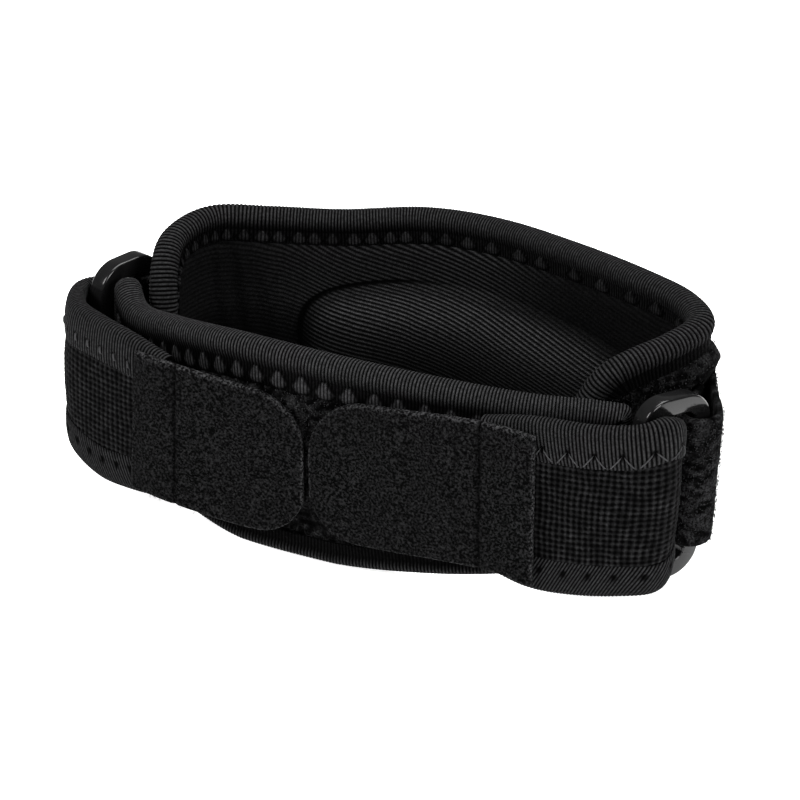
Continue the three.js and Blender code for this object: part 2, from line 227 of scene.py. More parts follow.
# Thread marks on the strap bindings, by end: columns along and inward of each thread's ends from its stitch
# hole. The right strap shows a pair that opens towards the knit, the left strap two strands of a short dash.
# Then a thread's radius, its lift over the ribs and its sides, and how deep it is sunk from end to end
THREAD_MARKS = {
    "left": [((-0.05, -0.9), (0.05, 1.7)), ((0.25, -0.9), (0.35, 1.7))],
    "right": [((-0.15, -0.2), (-2.9, 3.7)), ((0.15, -0.2), (2.9, 3.7))],
}
THREAD = {"radius": 0.18, "lift": 0.13, "sides": 5}
THREAD_SUNK = (0.5, 0.08, 0.0, 0.0, 0.08, 0.5)

# Corner radii seen from the front, at the first and the last end where they differ; points round a corner
# and step along a rim
BACK_CORNERS = (11, 11)
FRONT_CORNERS = (4.5, 2.0)
LINING_CORNER = 4
TAB_CORNERS = {"left": {"top": 12, "bottom": 12}, "right": {"top": 15, "bottom": 13}}
CORNER_STEPS = 12
RIM_STEP = 0.5

# Ribbed lining over the pad: seat on the panel, thickness, thickness at its tucked edge, width of the tuck
# and power of its ease, how far in from the rim and from the ends it starts, rib pitch, rib depth on the
# flat and on the pad, its cut height to its height on the panel, rows of its hidden face and share of the
# pad's rise there; then its grid, and the even levels by which its run over the pad is measured
LINING = {
    "seat": 2.37, "thick": 1.0, "tucked": 0.2, "tuck": 2.4, "tuck_ease": 0.6, "inset": 8.0, "ends": 10.9,
    "pitch": 1.2, "flat_depth": 0.12, "pad_depth": 0.32, "cut": 1.15, "back_rows": 24, "back_rise": 0.97,
}
LINING_ROWS_PER_RIB = 4
LINING_STEP = 0.5
LEVELS_TOP = 64
LEVELS_PER_MM = 4
LINING_LEVELS = np.linspace(0, LEVELS_TOP, LEVELS_TOP * LEVELS_PER_MM + 1)

# Pad: middle, half size, rise and roundness of its rim; on its face the roundness of the ends, fullness,
# ease of the foot and the rise by which the ribs stand out fully
PAD = {"x": 12, "z": 28, "half_length": 51, "half_height": 15.8, "rise": 12, "round": 2.8}
PAD_FACE = {"ends_round": 5.0, "fullness": 1.6, "foot": 0.1, "ramp": 4.5}

# Painted shadow along the crease round the pad: width, shade and the distances from the pad's middle over
# which it fades
PAD_CREASE_SHADOW = {"width": 0.055, "shade": 0.65, "fades": (-34, -12)}

# The pad drags the lining's ribs down to the right: columns distance from the pad's middle and drop, and the
# share of the drop by height
RIB_DRAG = [
    (-72, 0.0), (-66, 0.5), (-60, 1.4), (-55, 2.7), (-51, 4.4), (-47, 6.6), (-43, 8.8), (-37, 11.6),
    (-28, 14.8), (-17, 18.0), (-4, 21.4), (10, 24.8), (24, 28.0), (38, 31.0), (52, 33.4),
]
RIB_DRAG_LEVELS = [(14, 0.75), (44, 1.0)]

# The ribs' painted shade stands out on the pad, where they catch the light, and, by distance from its
# middle, above it; painted brightness of the flat lining and the share of the ribs' painted shade that shows
# there;
# painted shade of the lining by height, darker towards the bottom where the front panel shades it
RIB_SHOW = [(-66, 0.0), (-46, 0.6), (-2, 0.8), (24, 0.0)]
FLAT_CREST = 0.68
FLAT_RIB = 0.2
LINING_SHADOW_BY_HEIGHT = [(14, 0.5), (38, 1.0)]

# Foam core: share of the pad that it fills, clearance under the lining, rings, spokes and seat of its base
PAD_CORE = {"share": 0.9, "clearance": 1.5, "crown_rings": 16, "base_rings": 8, "spokes": 65, "base": 0.05}

# Soft upright creases of the lining, columns x, width and depth, and how far they lean
LINING_CREASES = [(-53.0, 2.4, 0.7), (-47.5, 1.8, 0.5), (-41.5, 2.6, 0.45)]
CREASE_LEAN = 0.12

# Knit of the straps: size of a stitch, its relief, the sink of the gaps between stitches, depth and painted
# shade of the lines between them, how uneven the stitches are, how far the rows wander and over what length,
# seed, rows of the hidden face; samples to a stitch
KNIT = {
    "cell": 1.47, "relief": 0.4, "sink": 0.12, "lines": 0.4, "uneven": 0.4, "wander": 0.3, "sway": 4.5,
    "seed": 71, "back_rows": 24,
}
KNIT_SAMPLES = 4

# Hook tabs: distance of the sewn line from the sewn end, its width, depth and painted shadow; round of the
# cut edge, least thickness there, width of the painted highlight along it and the painted brightness of the
# rest
TAB_LINE = {"at": 13.5, "width": 0.5, "depth": 0.45, "shade": 0.9}
TAB_EDGE = {"round": 0.6, "least": 0.35, "rim": 0.45, "plain": 0.28}

# How far the top of a tab's sewn end lies ahead of its bottom, and the length over which the slant fades
TAB_SLANT = {"left": 2.6, "right": 0.0}
SLANT_LENGTH = 24

# Grids of the felt and pile faces, and the relief of their lumps: spacing, height and, on the felt, the
# share of the coarse ones; crown of a padded panel and the width over which it rises
FELT = {"step": 0.5, "lump": 0.8, "height": 0.16, "coarse": 0.6, "rows": 84, "back_rows": 16}
PILE = {"step": 0.7, "lump": 1.2, "height": 0.32, "rows": 84, "back_rows": 12}
PANEL_PUFF = 1.1
PUFF_RAMP = 3.0

# Soft bulge of the back panel's pile at its right curl, above the keeper: place, size and share of the puff
CURL_BULGE = {"x": 73, "z": 51, "long": 9, "tall": 4.5, "out": 2.2}

# Fibres: count for each area, length, rise, radius and share of closed loops; that area in square
# millimetres, range of the shares of length and rise; from root to tip, the painted shade, darkest at the
# root, the reach, and the rise of a loop and of a cut fibre
FIBRES = {
    "panel": {"density": 60, "length": 0.8, "rise": 0.6, "radius": 0.085, "loops": 0.8},
    "keeper": {"density": 140, "length": 0.65, "rise": 0.45, "radius": 0.075, "loops": 0.85},
    "felt": {"density": 70, "length": 0.7, "rise": 0.3, "radius": 0.06, "loops": 0.3},
}
FIBRE_AREA = 100
FIBRE_LENGTHS = (0.6, 1.3)
FIBRE_RISES = (0.5, 1.2)
FIBRE_SHADING = (0.1, 0.7, 1.0, 0.6)
FIBRE_OVER = (0.0, 0.25, 0.75, 1.0)
LOOP_RISE = (0.0, 0.85, 1.0, 0.1)
CUT_RISE = (0.0, 0.85, 0.9, 1.0)

# Pile that shows on the front panel between the tips of the tabs, by x and z
FRONT_PATCH = {"x": (-26, 14), "z": (28, 44)}

# Cut widths of the bindings before they are folded, as sewn flat
BINDING_CUT = {"back": 24.0, "front": 28.0, "strap": 20.0}

# Cloths, with columns colour in the painted shade of the gaps and on the crests, how sharply the crests
# stand out from that painted shade, fibre fuzz to the metre, share of the fuzz in the shade, bump in
# millimetres and roughness
CLOTH_COLUMNS = ("dark", "light", "sharp", "fuzz", "fray", "bump", "rough")
CLOTHS = {
    "Loop pile": (0.0003, 0.029, 2.0, 1900, 0.95, 0.5, 0.95),
    "Pile fibre": (0.0005, 0.036, 1.4, 1200, 0.5, 0.05, 0.85),
    "Rib binding": (0.0002, 0.037, 3.6, 1500, 0.5, 0.06, 0.8),
    "Ribbed lining": (0.0002, 0.056, 6.4, 1500, 0.5, 0.05, 0.75),
    "Pad foam": (0.004, 0.012, 1.0, 2200, 0.5, 0.15, 0.9),
    "Elastic knit": (0.0002, 0.028, 2.8, 1400, 0.55, 0.1, 0.85),
    "Hook felt": (0.0004, 0.044, 1.0, 1650, 0.97, 0.4, 0.95),
    "Felt fibre": (0.001, 0.014, 1.0, 700, 0.6, 0.05, 0.85),
    "Seam thread": (0.008, 0.038, 1.0, 2600, 0.3, 0.05, 0.6),
}

# Cloths that show fine yarns, with the yarns to the metre along and across; cloths with a middle of the fuzz
# or a share of lint of their own
YARNS = {"Rib binding": (2600, 5200), "Ribbed lining": (4000, 2600), "Elastic knit": (2900, 2900)}
FUZZ_MIDDLES = {"Hook felt": 0.55}
LINT_SHARES = {"Hook felt": 0.06}

# All cloths: sheen and its roughness, gloss, how far the fuzz smooths them, strength of the relief and share
# of the yarns in it, and how much bluer than grey they are
CLOTH_SHEEN = 0.002
SHEEN_ROUGH = 0.45
CLOTH_SPECULAR = 0.008
FUZZ_SMOOTHS = 0.15
CLOTH_RELIEF = 0.8
YARN_RELIEF = 0.6
COOL = 1.03

# Fibre fuzz in two sizes: detail and share of each, and how many fine lumps go to a coarse one; its middle
# and contrast. Swing of each fine yarn. Lint: specks to the metre, size, share and colour
FUZZ_COARSE = {"detail": 2.0, "share": 0.65}
FUZZ_FINE = {"detail": 3.0, "share": 0.35, "rate": 3.1}
FUZZ_MIDDLE = 0.5
FUZZ_CONTRAST = 5.5
YARN_SWING = 0.25
LINT_SPECKS = {"Scale": 240.0, "Size": 0.1}
LINT_SHARE = 0.03
LINT_COLOUR = 0.1

# Ring plastic: colour from and to, roughness from and to, gloss, grain to the metre, its contrast, its bump
# in millimetres and the strength of that
PLASTIC = {
    "dark": 0.003, "light": 0.006, "smooth": 0.08, "rough": 0.16, "specular": 0.26, "grain": 420,
    "contrast": 1.6, "bump": 0.03, "relief": 0.25,
}

# Camera: angles, distance and lens as read from the photograph, and how far its middle lies from the origin
CAMERA = {
    "azimuth": 25, "elevation": 28, "distance": 1.0, "height": 0.028, "right": 0.00122, "lens": 188.6,
}

# Soft lights: place and size in metres and power; all look at the middle of the brace
LIGHTS = {
    "overhead": {"place": (0.05, 0.3, 1.1), "size": 0.9, "power": 22},
    "key_left": {"place": (-0.75, -0.75, 0.8), "size": 0.5, "power": 17},
    "fill_right": {"place": (0.95, -0.45, 0.5), "size": 0.5, "power": 12},
}

# Strength of the sky; floor: half size and drop in metres, whiteness, roughness, gloss and glow
SKY = 0.22
FLOOR = {"half": 4.0, "drop": 0.0004, "white": 0.93, "rough": 0.9, "specular": 0.1, "glow": 0.8}


def eased(t):
    """Share from 0 to 1 that starts and ends softly."""
    return t * t * (3 - 2 * t)


def leaned(points):
    """Plan points moved by the slant of the end that they lie on."""
    x, z = points[..., 0], points[..., 2]
    grown = np.clip((np.abs(x) - LEAN["from"]) / (LEAN["to"] - LEAN["from"]), 0, 1)
    share = eased(grown) * (LEAN["pivot"] - z)
    slant = np.where((x > 0)[..., None], LEAN["right"], LEAN["left"])
    moved = points.copy()
    moved[..., :2] += share[..., None] * slant
    return moved


def smooth_rows(rows, t):
    """Rows of a table read along a smooth curve through them, with t counting rows from 0."""
    table = np.array(rows, float)
    ends = np.vstack([2 * table[0] - table[1], table, 2 * table[-1] - table[-2]])
    i = np.clip(t.astype(int), 0, len(table) - 2)
    u = (t - i)[:, None]
    before, here, ahead, beyond = (ends[i + k] for k in range(4))
    leave, arrive = (ahead - before) / 2, (beyond - here) / 2
    return here + eased(u) * (ahead - here) + u * (1 - u) ** 2 * leave - u * u * (1 - u) * arrive


def lengths(points):
    """Distance along a line of points, from 0 at its first."""
    return np.concatenate([[0], np.cumsum(np.linalg.norm(np.diff(points, axis=0), axis=1))])


def unit(vectors):
    """Vectors of length 1 in the same directions."""
    return vectors / (np.linalg.norm(vectors, axis=-1, keepdims=True) + WELD)


class Course:
    """The run of a band of cloth; side is 1 where its outer face lies left of the run, -1 where right.

    slant is how far the top of its first end lies ahead of the bottom.
    """

    SAMPLES = 3000

    def __init__(self, rows, side, slant=0.0):
        self.slant = slant
        rows = [(*row, 0)[:5] for row in rows]
        self.table = smooth_rows(rows, np.linspace(0, len(rows) - 1, self.SAMPLES))
        plan = self.table[:, :2]
        self.along = lengths(plan)
        self.length = self.along[-1]
        run = unit(np.gradient(plan, self.along, axis=0))
        self.normal = side * np.stack([-run[:, 1], run[:, 0]], 1)

    def edges(self, s):
        """Heights of the bottom and top edge at s."""
        bottom, top = (np.interp(s, self.along, self.table[:, k]) for k in (2, 3))
        return np.maximum(0, bottom), top

    def place(self, s, n, z):
        """Points at distances s along the run, n out of its middle plane, at heights z."""
        s, n, z = np.broadcast_arrays(s, n, z)
        bottom, top = self.edges(s)
        h = (z - bottom) / (top - bottom)
        s = s + self.slant * h * np.clip(1 - s / SLANT_LENGTH, 0, 1)
        x, y, bow = (np.interp(s, self.along, self.table[:, k]) for k in (0, 1, 4))
        out_x, out_y = (np.interp(s, self.along, self.normal[:, k]) for k in (0, 1))
        out = n + bow * 4 * h * (1 - h)
        return leaned(np.stack([x + out * out_x, y + out * out_y, z], -1))

    def distance_at_x(self, x, behind=True):
        """Distance along the run where it passes x, on its half behind the middle or in front of it."""
        wrong_half = (self.table[:, 1] < 0) == behind
        return self.along[np.argmin(np.abs(self.table[:, 0] - x) + np.where(wrong_half, self.length, 0))]


def spaced(low, high, step):
    """Even values from low to high, about a step apart."""
    return np.linspace(low, high, max(2, math.ceil((high - low) / step) + 1))


def corner_drop(d, radius):
    """How far an edge drops at distances d from a corner of that radius."""
    d = np.clip(d, 0, radius)
    return radius - np.sqrt(radius**2 - (radius - d) ** 2)


def read_table(table, at):
    """Second column of a short table, read at values of its first."""
    return np.interp(at, *zip(*table))


def ridge(d, pitch, fullness=0.7):
    """Height from 0 in the groove to 1 on the crest of ridges that repeat at the pitch."""
    return np.abs(np.sin(np.pi * d / pitch)) ** fullness


def bump(d, width):
    """Soft round bump of height 1 about d = 0."""
    return np.exp(-((d / width) ** 2))


def lumps(u, v, spacing, seed):
    """Smooth seeded lumps from -1 to 1 over a surface."""
    lattice = np.random.default_rng(seed).uniform(-1, 1, LATTICE)
    rows, columns = LATTICE
    a, b = u / spacing + rows, v / spacing + columns
    i, j = np.floor(a).astype(int), np.floor(b).astype(int)
    p, q = eased(a - i), eased(b - j)
    near, far = ([lattice[(i + di) % rows, (j + dj) % columns] for di in (0, 1)] for dj in (0, 1))
    low, high = (pair[0] * (1 - p) + pair[1] * p for pair in (near, far))
    return low * (1 - q) + high * q


def grid_mesh(name, points, along, around, crest):
    """Mesh of a grid of plan points [along, around], with distances as UV and the painted shading as an
    attribute.
    """
    count = np.array(points.shape[:2])
    bm = bmesh.new()
    bm.loops.layers.uv.new(UV_NAME)
    bmesh.ops.create_grid(bm, x_segments=int(count[0]) - 1, y_segments=int(count[1]) - 1, size=GRID_HALF)
    mesh = bpy.data.meshes.new(name)
    bm.to_mesh(mesh)
    bm.free()
    flat = np.empty(3 * len(mesh.vertices), np.float32)
    mesh.vertices.foreach_get("co", flat)
    i, j = np.rint((flat.reshape(-1, 3)[:, :2] + GRID_HALF) * (count - 1)).astype(int).T
    mesh.vertices.foreach_set("co", ((points[i, j] - PLAN_CENTRE) * MM).astype(np.float32).ravel())
    corner = np.empty(len(mesh.loops), np.int32)
    mesh.loops.foreach_get("vertex_index", corner)
    uv = np.stack([along[i[corner]], around[j[corner]]], 1) * MM
    mesh.uv_layers[UV_NAME].data.foreach_set("uv", uv.astype(np.float32).ravel())
    painted_per_point = np.broadcast_to(crest, points.shape[:2])[i, j]
    mesh.attributes.new(PAINTED_SHADING, "FLOAT", "POINT").data.foreach_set("value", painted_per_point.astype(np.float32))
    return mesh


def close_mesh(mesh):
    """Welds the seams of a wrapped grid, fills the ends that are open and turns the faces outwards."""
    bm = bmesh.new()
    bm.from_mesh(mesh)
    bmesh.ops.remove_doubles(bm, verts=[v for v in bm.verts if v.is_boundary], dist=WELD)
    bmesh.ops.holes_fill(bm, edges=[e for e in bm.edges if e.is_boundary], sides=0)
    bmesh.ops.recalc_face_normals(bm, faces=bm.faces)
    bm.to_mesh(mesh)
    bm.free()
    return mesh


def wrapped(name, points, along, crest=1.0):
    """Closed mesh of a grid of points [along, around] whose last column lies on its first."""
    return close_mesh(grid_mesh(name, points, along, lengths(points[len(points) // 2]), crest))


def strands(name, paths, radius, facing, sides=3, crest=1.0):
    """Mesh of thin closed tubes along paths [strand, point], pinched shut at both ends."""
    count, rows = paths.shape[:2]
    run = np.gradient(paths, axis=1)
    across = unit(np.cross(run, facing[:, None, :]))
    over = unit(np.cross(across, run))
    thick = radius * np.concatenate([[0], np.ones(rows - 2), [0]])
    angle = np.linspace(0, 2 * np.pi, sides + 1)[None, :, None, None]
    ring = np.cos(angle) * across[:, None] + np.sin(angle) * over[:, None]
    points = paths[:, None] + thick[None, None, :, None] * ring
    columns = count * (sides + 1)
    mesh = grid_mesh(name, points.reshape(columns, rows, 3), np.arange(columns), np.arange(rows), crest)
    bm = bmesh.new()
    bm.from_mesh(mesh)
    uv = bm.loops.layers.uv[UV_NAME]
    starts = [min(round(corner[uv].uv.x / MM) for corner in face.loops) for face in bm.faces]
    between = [face for face, start in zip(bm.faces, starts) if start % (sides + 1) == sides]
    bmesh.ops.delete(bm, geom=between, context="FACES")
    bmesh.ops.remove_doubles(bm, verts=bm.verts, dist=WELD)
    bmesh.ops.recalc_face_normals(bm, faces=bm.faces)
    bm.to_mesh(mesh)
    bm.free()
    return mesh


def piece(mesh, material, slot, *nodes):
    """Object of a finished mesh that rides on the brace and stands for the given solids."""
    mesh.shade_smooth()
    mesh.materials.append(material)
    made = bpy.data.objects.new(mesh.name, mesh)
    bpy.context.scene.collection.objects.link(made)
    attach(made, "root")
    if nodes:
        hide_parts(*nodes)
    return made


def node_group(name, inputs, outputs):
    """Shader node group with named values going in and out, and its input and output nodes."""
    group = bpy.data.node_groups.new(name, "ShaderNodeTree")
    for in_out, sockets in (("INPUT", inputs), ("OUTPUT", outputs)):
        for socket in sockets:
            group.interface.new_socket(socket, in_out=in_out, socket_type="NodeSocketFloat")
    return group, group.nodes.new("NodeGroupInput"), group.nodes.new("NodeGroupOutput")


def feed(tree, socket, value):
    """Gives a socket a number, a colour or the link from another socket."""
    if isinstance(value, bpy.types.NodeSocket):
        tree.links.new(value, socket)
    else:
        socket.default_value = value


def math_node(tree, operation, first, second=0.0, clamp=False):
    """Maths node fed by sockets or numbers; returns its value."""
    node = tree.nodes.new("ShaderNodeMath")
    node.operation = operation
    node.use_clamp = clamp
    feed(tree, node.inputs[0], first)
    feed(tree, node.inputs[1], second)
    return node.outputs["Value"]


def between(tree, share, low, high):
    """Value between two numbers by a share from 0 to 1."""
    return math_node(tree, "ADD", math_node(tree, "MULTIPLY", share, high - low), low)


def noise_node(tree, scale, detail):
    """Noise on the piece's own coordinates; returns its value from 0 to 1."""
    coordinates = tree.nodes.new("ShaderNodeTexCoord")
    noise = tree.nodes.new("ShaderNodeTexNoise")
    noise.inputs["Detail"].default_value = detail
    tree.links.new(coordinates.outputs["Object"], noise.inputs["Vector"])
    feed(tree, noise.inputs["Scale"], scale)
    return noise.outputs["Fac"]


def fuzz_group():
    """Fibre lumps in two sizes: a shade from 0 to 1 and a height."""
    group, given, result = node_group("Fibre fuzz", ["Scale", "Middle", "Contrast"], ["Shade", "Height"])
    rates = (given.outputs["Scale"], math_node(group, "MULTIPLY", given.outputs["Scale"], FUZZ_FINE["rate"]))
    parts = []
    for rate, kind in zip(rates, (FUZZ_COARSE, FUZZ_FINE)):
        parts.append(math_node(group, "MULTIPLY", noise_node(group, rate, kind["detail"]), kind["share"]))
    height = math_node(group, "ADD", *parts)
    spread = math_node(group, "SUBTRACT", height, given.outputs["Middle"])
    spread = math_node(group, "MULTIPLY", spread, given.outputs["Contrast"])
    group.links.new(math_node(group, "ADD", spread, FUZZ_MIDDLE, clamp=True), result.inputs["Shade"])
    group.links.new(height, result.inputs["Height"])
    return group


def crest_group():
    """Painted shading of cloth: the piece's painted shade in gaps and light on crests, broken up by a share
    of the fibre fuzz.
    """
    group, given, result = node_group("Painted shade and fuzz", ["Fuzz", "Fray", "Sharp"], ["Shade"])
    crest = group.nodes.new("ShaderNodeAttribute")
    crest.attribute_name = PAINTED_SHADING
    lost = math_node(group, "SUBTRACT", 1.0, given.outputs["Fuzz"])
    kept = math_node(group, "SUBTRACT", 1.0, math_node(group, "MULTIPLY", lost, given.outputs["Fray"]))
    sharp = math_node(group, "POWER", crest.outputs["Fac"], given.outputs["Sharp"])
    shade = math_node(group, "MULTIPLY", sharp, kept, clamp=True)
    group.links.new(shade, result.inputs["Shade"])
    return group


def yarn_group():
    """Fine yarns side by side on the cloth's own UV: a height from 0 to 1."""
    group, given, result = node_group("Fine yarn", ["Along", "Across"], ["Height"])
    uv = group.nodes.new("ShaderNodeUVMap")
    uv.uv_map = UV_NAME
    split = group.nodes.new("ShaderNodeSeparateXYZ")
    group.links.new(uv.outputs["UV"], split.inputs["Vector"])
    waves = []
    for axis, rate in (("X", "Along"), ("Y", "Across")):
        turn = math_node(group, "MULTIPLY", split.outputs[axis], given.outputs[rate])
        wave = math_node(group, "SINE", math_node(group, "MULTIPLY", turn, 2 * math.pi))
        waves.append(math_node(group, "MULTIPLY", wave, YARN_SWING))
    height = math_node(group, "ADD", math_node(group, "ADD", *waves), len(waves) * YARN_SWING)
    group.links.new(height, result.inputs["Height"])
    return group


def lint_group():
    """Scattered specks of lint: a mask from 0 to 1."""
    group, given, result = node_group("Lint", ["Scale", "Size"], ["Mask"])
    coordinates = group.nodes.new("ShaderNodeTexCoord")
    cells = group.nodes.new("ShaderNodeTexVoronoi")
    group.links.new(coordinates.outputs["Object"], cells.inputs["Vector"])
    group.links.new(given.outputs["Scale"], cells.inputs["Scale"])
    near = math_node(group, "DIVIDE", cells.outputs["Distance"], given.outputs["Size"])
    group.links.new(math_node(group, "SUBTRACT", 1.0, near, clamp=True), result.inputs["Mask"])
    return group


FUZZ, SHADE_AND_FUZZ, YARN, LINT = fuzz_group(), crest_group(), yarn_group(), lint_group()


def use_group(tree, group, **values):
    """A node group placed in a material with its own input values or links."""
    node = tree.nodes.new("ShaderNodeGroup")
    node.node_tree = group
    for socket, value in values.items():
        feed(tree, node.inputs[socket], value)
    return node.outputs


def grey(level):
    """Neutral black-cloth colour, a trace cooler than grey."""
    return (level, level, level * COOL, 1.0)


def mixed(tree, share, low, high):
    """Colour between two colours or sockets by a share."""
    node = tree.nodes.new("ShaderNodeMix")
    node.data_type = "RGBA"
    feed(tree, node.inputs["Factor"], share)
    for name, value in (("A", low), ("B", high)):
        feed(tree, next(s for s in node.inputs if s.name == name and s.type == "RGBA"), value)
    return next(s for s in node.outputs if s.type == "RGBA")


def relief(tree, shader, height, distance, strength):
    """Bump of a height in millimetres on a shader."""
    node = tree.nodes.new("ShaderNodeBump")
    node.inputs["Strength"].default_value = strength
    node.inputs["Distance"].default_value = distance * MM
    tree.links.new(height, node.inputs["Height"])
    tree.links.new(node.outputs["Normal"], shader.inputs["Normal"])


def new_material(name):
    """Material with its node tree and its shader."""
    material = bpy.data.materials.new(name)
    material.use_nodes = True
    return material, material.node_tree, material.node_tree.nodes["Principled BSDF"]


def cloth_material(name):
    """Black cloth: painted shade in the gaps and lighter crests, fibre fuzz, fine yarns where they show, and
    lint.
    """
    cloth = dict(zip(CLOTH_COLUMNS, CLOTHS[name]))
    material, tree, shader = new_material(name)
    shader.inputs["Sheen Weight"].default_value = CLOTH_SHEEN
    shader.inputs["Sheen Roughness"].default_value = SHEEN_ROUGH
    shader.inputs["Specular IOR Level"].default_value = CLOTH_SPECULAR
    middle = FUZZ_MIDDLES.get(name, FUZZ_MIDDLE)
    fibres = use_group(tree, FUZZ, Scale=cloth["fuzz"], Middle=middle, Contrast=FUZZ_CONTRAST)
    shade = use_group(tree, SHADE_AND_FUZZ, Fuzz=fibres["Shade"], Fray=cloth["fray"], Sharp=cloth["sharp"])["Shade"]
    specks = use_group(tree, LINT, **LINT_SPECKS)["Mask"]
    colour = mixed(tree, shade, grey(cloth["dark"]), grey(cloth["light"]))
    lint = math_node(tree, "MULTIPLY", specks, LINT_SHARES.get(name, LINT_SHARE))
    tree.links.new(mixed(tree, lint, colour, grey(LINT_COLOUR)), shader.inputs["Base Color"])
    roughness = between(tree, fibres["Shade"], cloth["rough"], cloth["rough"] - FUZZ_SMOOTHS)
    tree.links.new(roughness, shader.inputs["Roughness"])
    height = fibres["Height"]
    if name in YARNS:
        along, across = YARNS[name]
        yarns = use_group(tree, YARN, Along=along, Across=across)["Height"]
        height = math_node(tree, "ADD", height, math_node(tree, "MULTIPLY", yarns, YARN_RELIEF))
    relief(tree, shader, height, cloth["bump"], CLOTH_RELIEF)
    return material


def ring_material():
    """Moulded black plastic: fine grain in its colour and roughness and a slight unevenness."""
    material, tree, shader = new_material("Ring plastic")
    shader.inputs["Specular IOR Level"].default_value = PLASTIC["specular"]
    grain = use_group(tree, FUZZ, Scale=PLASTIC["grain"], Middle=FUZZ_MIDDLE, Contrast=PLASTIC["contrast"])
    colour = mixed(tree, grain["Shade"], grey(PLASTIC["dark"]), grey(PLASTIC["light"]))
    tree.links.new(colour, shader.inputs["Base Color"])
    roughness = between(tree, grain["Shade"], PLASTIC["smooth"], PLASTIC["rough"])
    tree.links.new(roughness, shader.inputs["Roughness"])
    relief(tree, shader, grain["Height"], PLASTIC["bump"], PLASTIC["relief"])
    return material


MATERIALS = {name: cloth_material(name) for name in CLOTHS}
MATERIALS["Ring plastic"] = ring_material()


def both_faces(face, kind):
    """A face of a section, columns n, inward, down and ribbed; its slot; and the same on the other side."""
    slot = kind["slot"]
    face = face + [(slot, face[-1][1], -1, 0), (slot, kind["edge"], -1, 0)]
    return np.array(face + [(-n, *rest) for n, *rest in face[::-1]], float)


def rolled_section(kind):
    """Closed section of a panel binding: round roll and stitched leg; down is -1 off the leg."""
    half, roll = kind["half"], kind["roll"]
    face = [(n * half, i * roll, -1, 1) for n, i in ROLL_SECTION]
    face += [(kind["slot"] + LEG_LIE, roll + down * (kind["leg"] - roll), down, 1) for down in LEG_ROWS]
    return both_faces(face, kind)


def section_normals(n, inward):
    """Outward directions of a closed section, in n and inward."""
    return unit(np.stack([np.gradient(inward), -np.gradient(n)], 1)).T


def counted(along, pitch):
    """Running count of steps of a changing pitch along a line, a whole number at its end."""
    steps = np.diff(along) * 2 / (pitch[1:] + pitch[:-1])
    count = np.concatenate([[0], np.cumsum(steps)])
    return count * round(count[-1]) / count[-1]


def rim_path(course, first, last):
    """Points (s, z) of a closed rim: along the bottom from the last end to the first, then along the top."""
    bend = 1 - np.cos(np.linspace(0, np.pi / 2, CORNER_STEPS))
    straight = spaced(first, course.length - last, RIM_STEP)[1:-1]
    s = np.concatenate([first * bend, straight, course.length - last * bend[::-1]])
    drop = corner_drop(s, first) + corner_drop(course.length - s, last)
    bottom, top = course.edges(s)
    path = np.concatenate([np.stack([s, bottom + drop], 1)[::-1], np.stack([s, top - drop], 1)])
    return np.vstack([path, path[:1]])


class Rim:
    """The closed rim of a course: a point is read by its distance along, n out and inward from the edge."""

    def __init__(self, course, first, last):
        path = rim_path(course, first, last)
        along = lengths(path)
        self.course, self.length = course, along[-1]
        self.even = spaced(0, self.length, RIM_STEP / 2)
        self.s, self.z = (np.interp(self.even, along, path[:, k]) for k in (0, 1))
        self.run = unit(np.stack([np.gradient(self.s), np.gradient(self.z)], 1)).T
        corner = np.where(self.s < course.length / 2, first, last)
        turning = np.hypot(*np.gradient(self.run, axis=1)) > TURN
        bends = self.even[turning & (np.minimum(self.s, course.length - self.s) < corner)]
        self.deepest = MITRE * corner + np.min(np.abs(self.even[:, None] - bends), axis=1)
        middle = np.mean(course.edges(self.s), axis=0)
        self.upper = np.clip((self.z - middle) / UPPER_EASE + 1 / 2, 0, 1)

    def read(self, distance, values):
        """Values that go with the even distances, read at other distances."""
        return np.interp(distance, self.even, values)

    def place(self, distance, n, inward):
        """Points of the rim; in a corner they reach no deeper than its middle."""
        s, z, run_s, run_z = (self.read(distance, values) for values in (self.s, self.z, *self.run))
        reach = np.minimum(inward, self.read(distance, self.deepest))
        return self.course.place(s + run_z * reach, n, z - run_s * reach)


def tufts(count, down, broad, kind, seed):
    """Height from 0 to 1 of the pointed tufts of a leg, by stitch count, share down it and their width."""
    stitch = np.floor(count).astype(int)
    dice = np.random.default_rng(seed)
    shift, loss = kind["uneven"] * dice.uniform(*zip(TUFT_SHIFT, TUFT_LOSS), (stitch.max() + 1, 2)).T
    across = (2 * (count - stitch) - 1 - shift[stitch]) / broad
    wide = TUFT_TIP + (1 - TUFT_TIP) * np.clip(down / TUFT_WAIST, 0, 1)
    tail = np.clip((down - TUFT_WAIST) / (1 - TUFT_WAIST), 0, 1)
    height = np.sqrt(np.clip(1 - (across / wide) ** 2 - tail**2, 0, 1))
    return np.where(down < 0, 0, height * (1 - loss[stitch]))


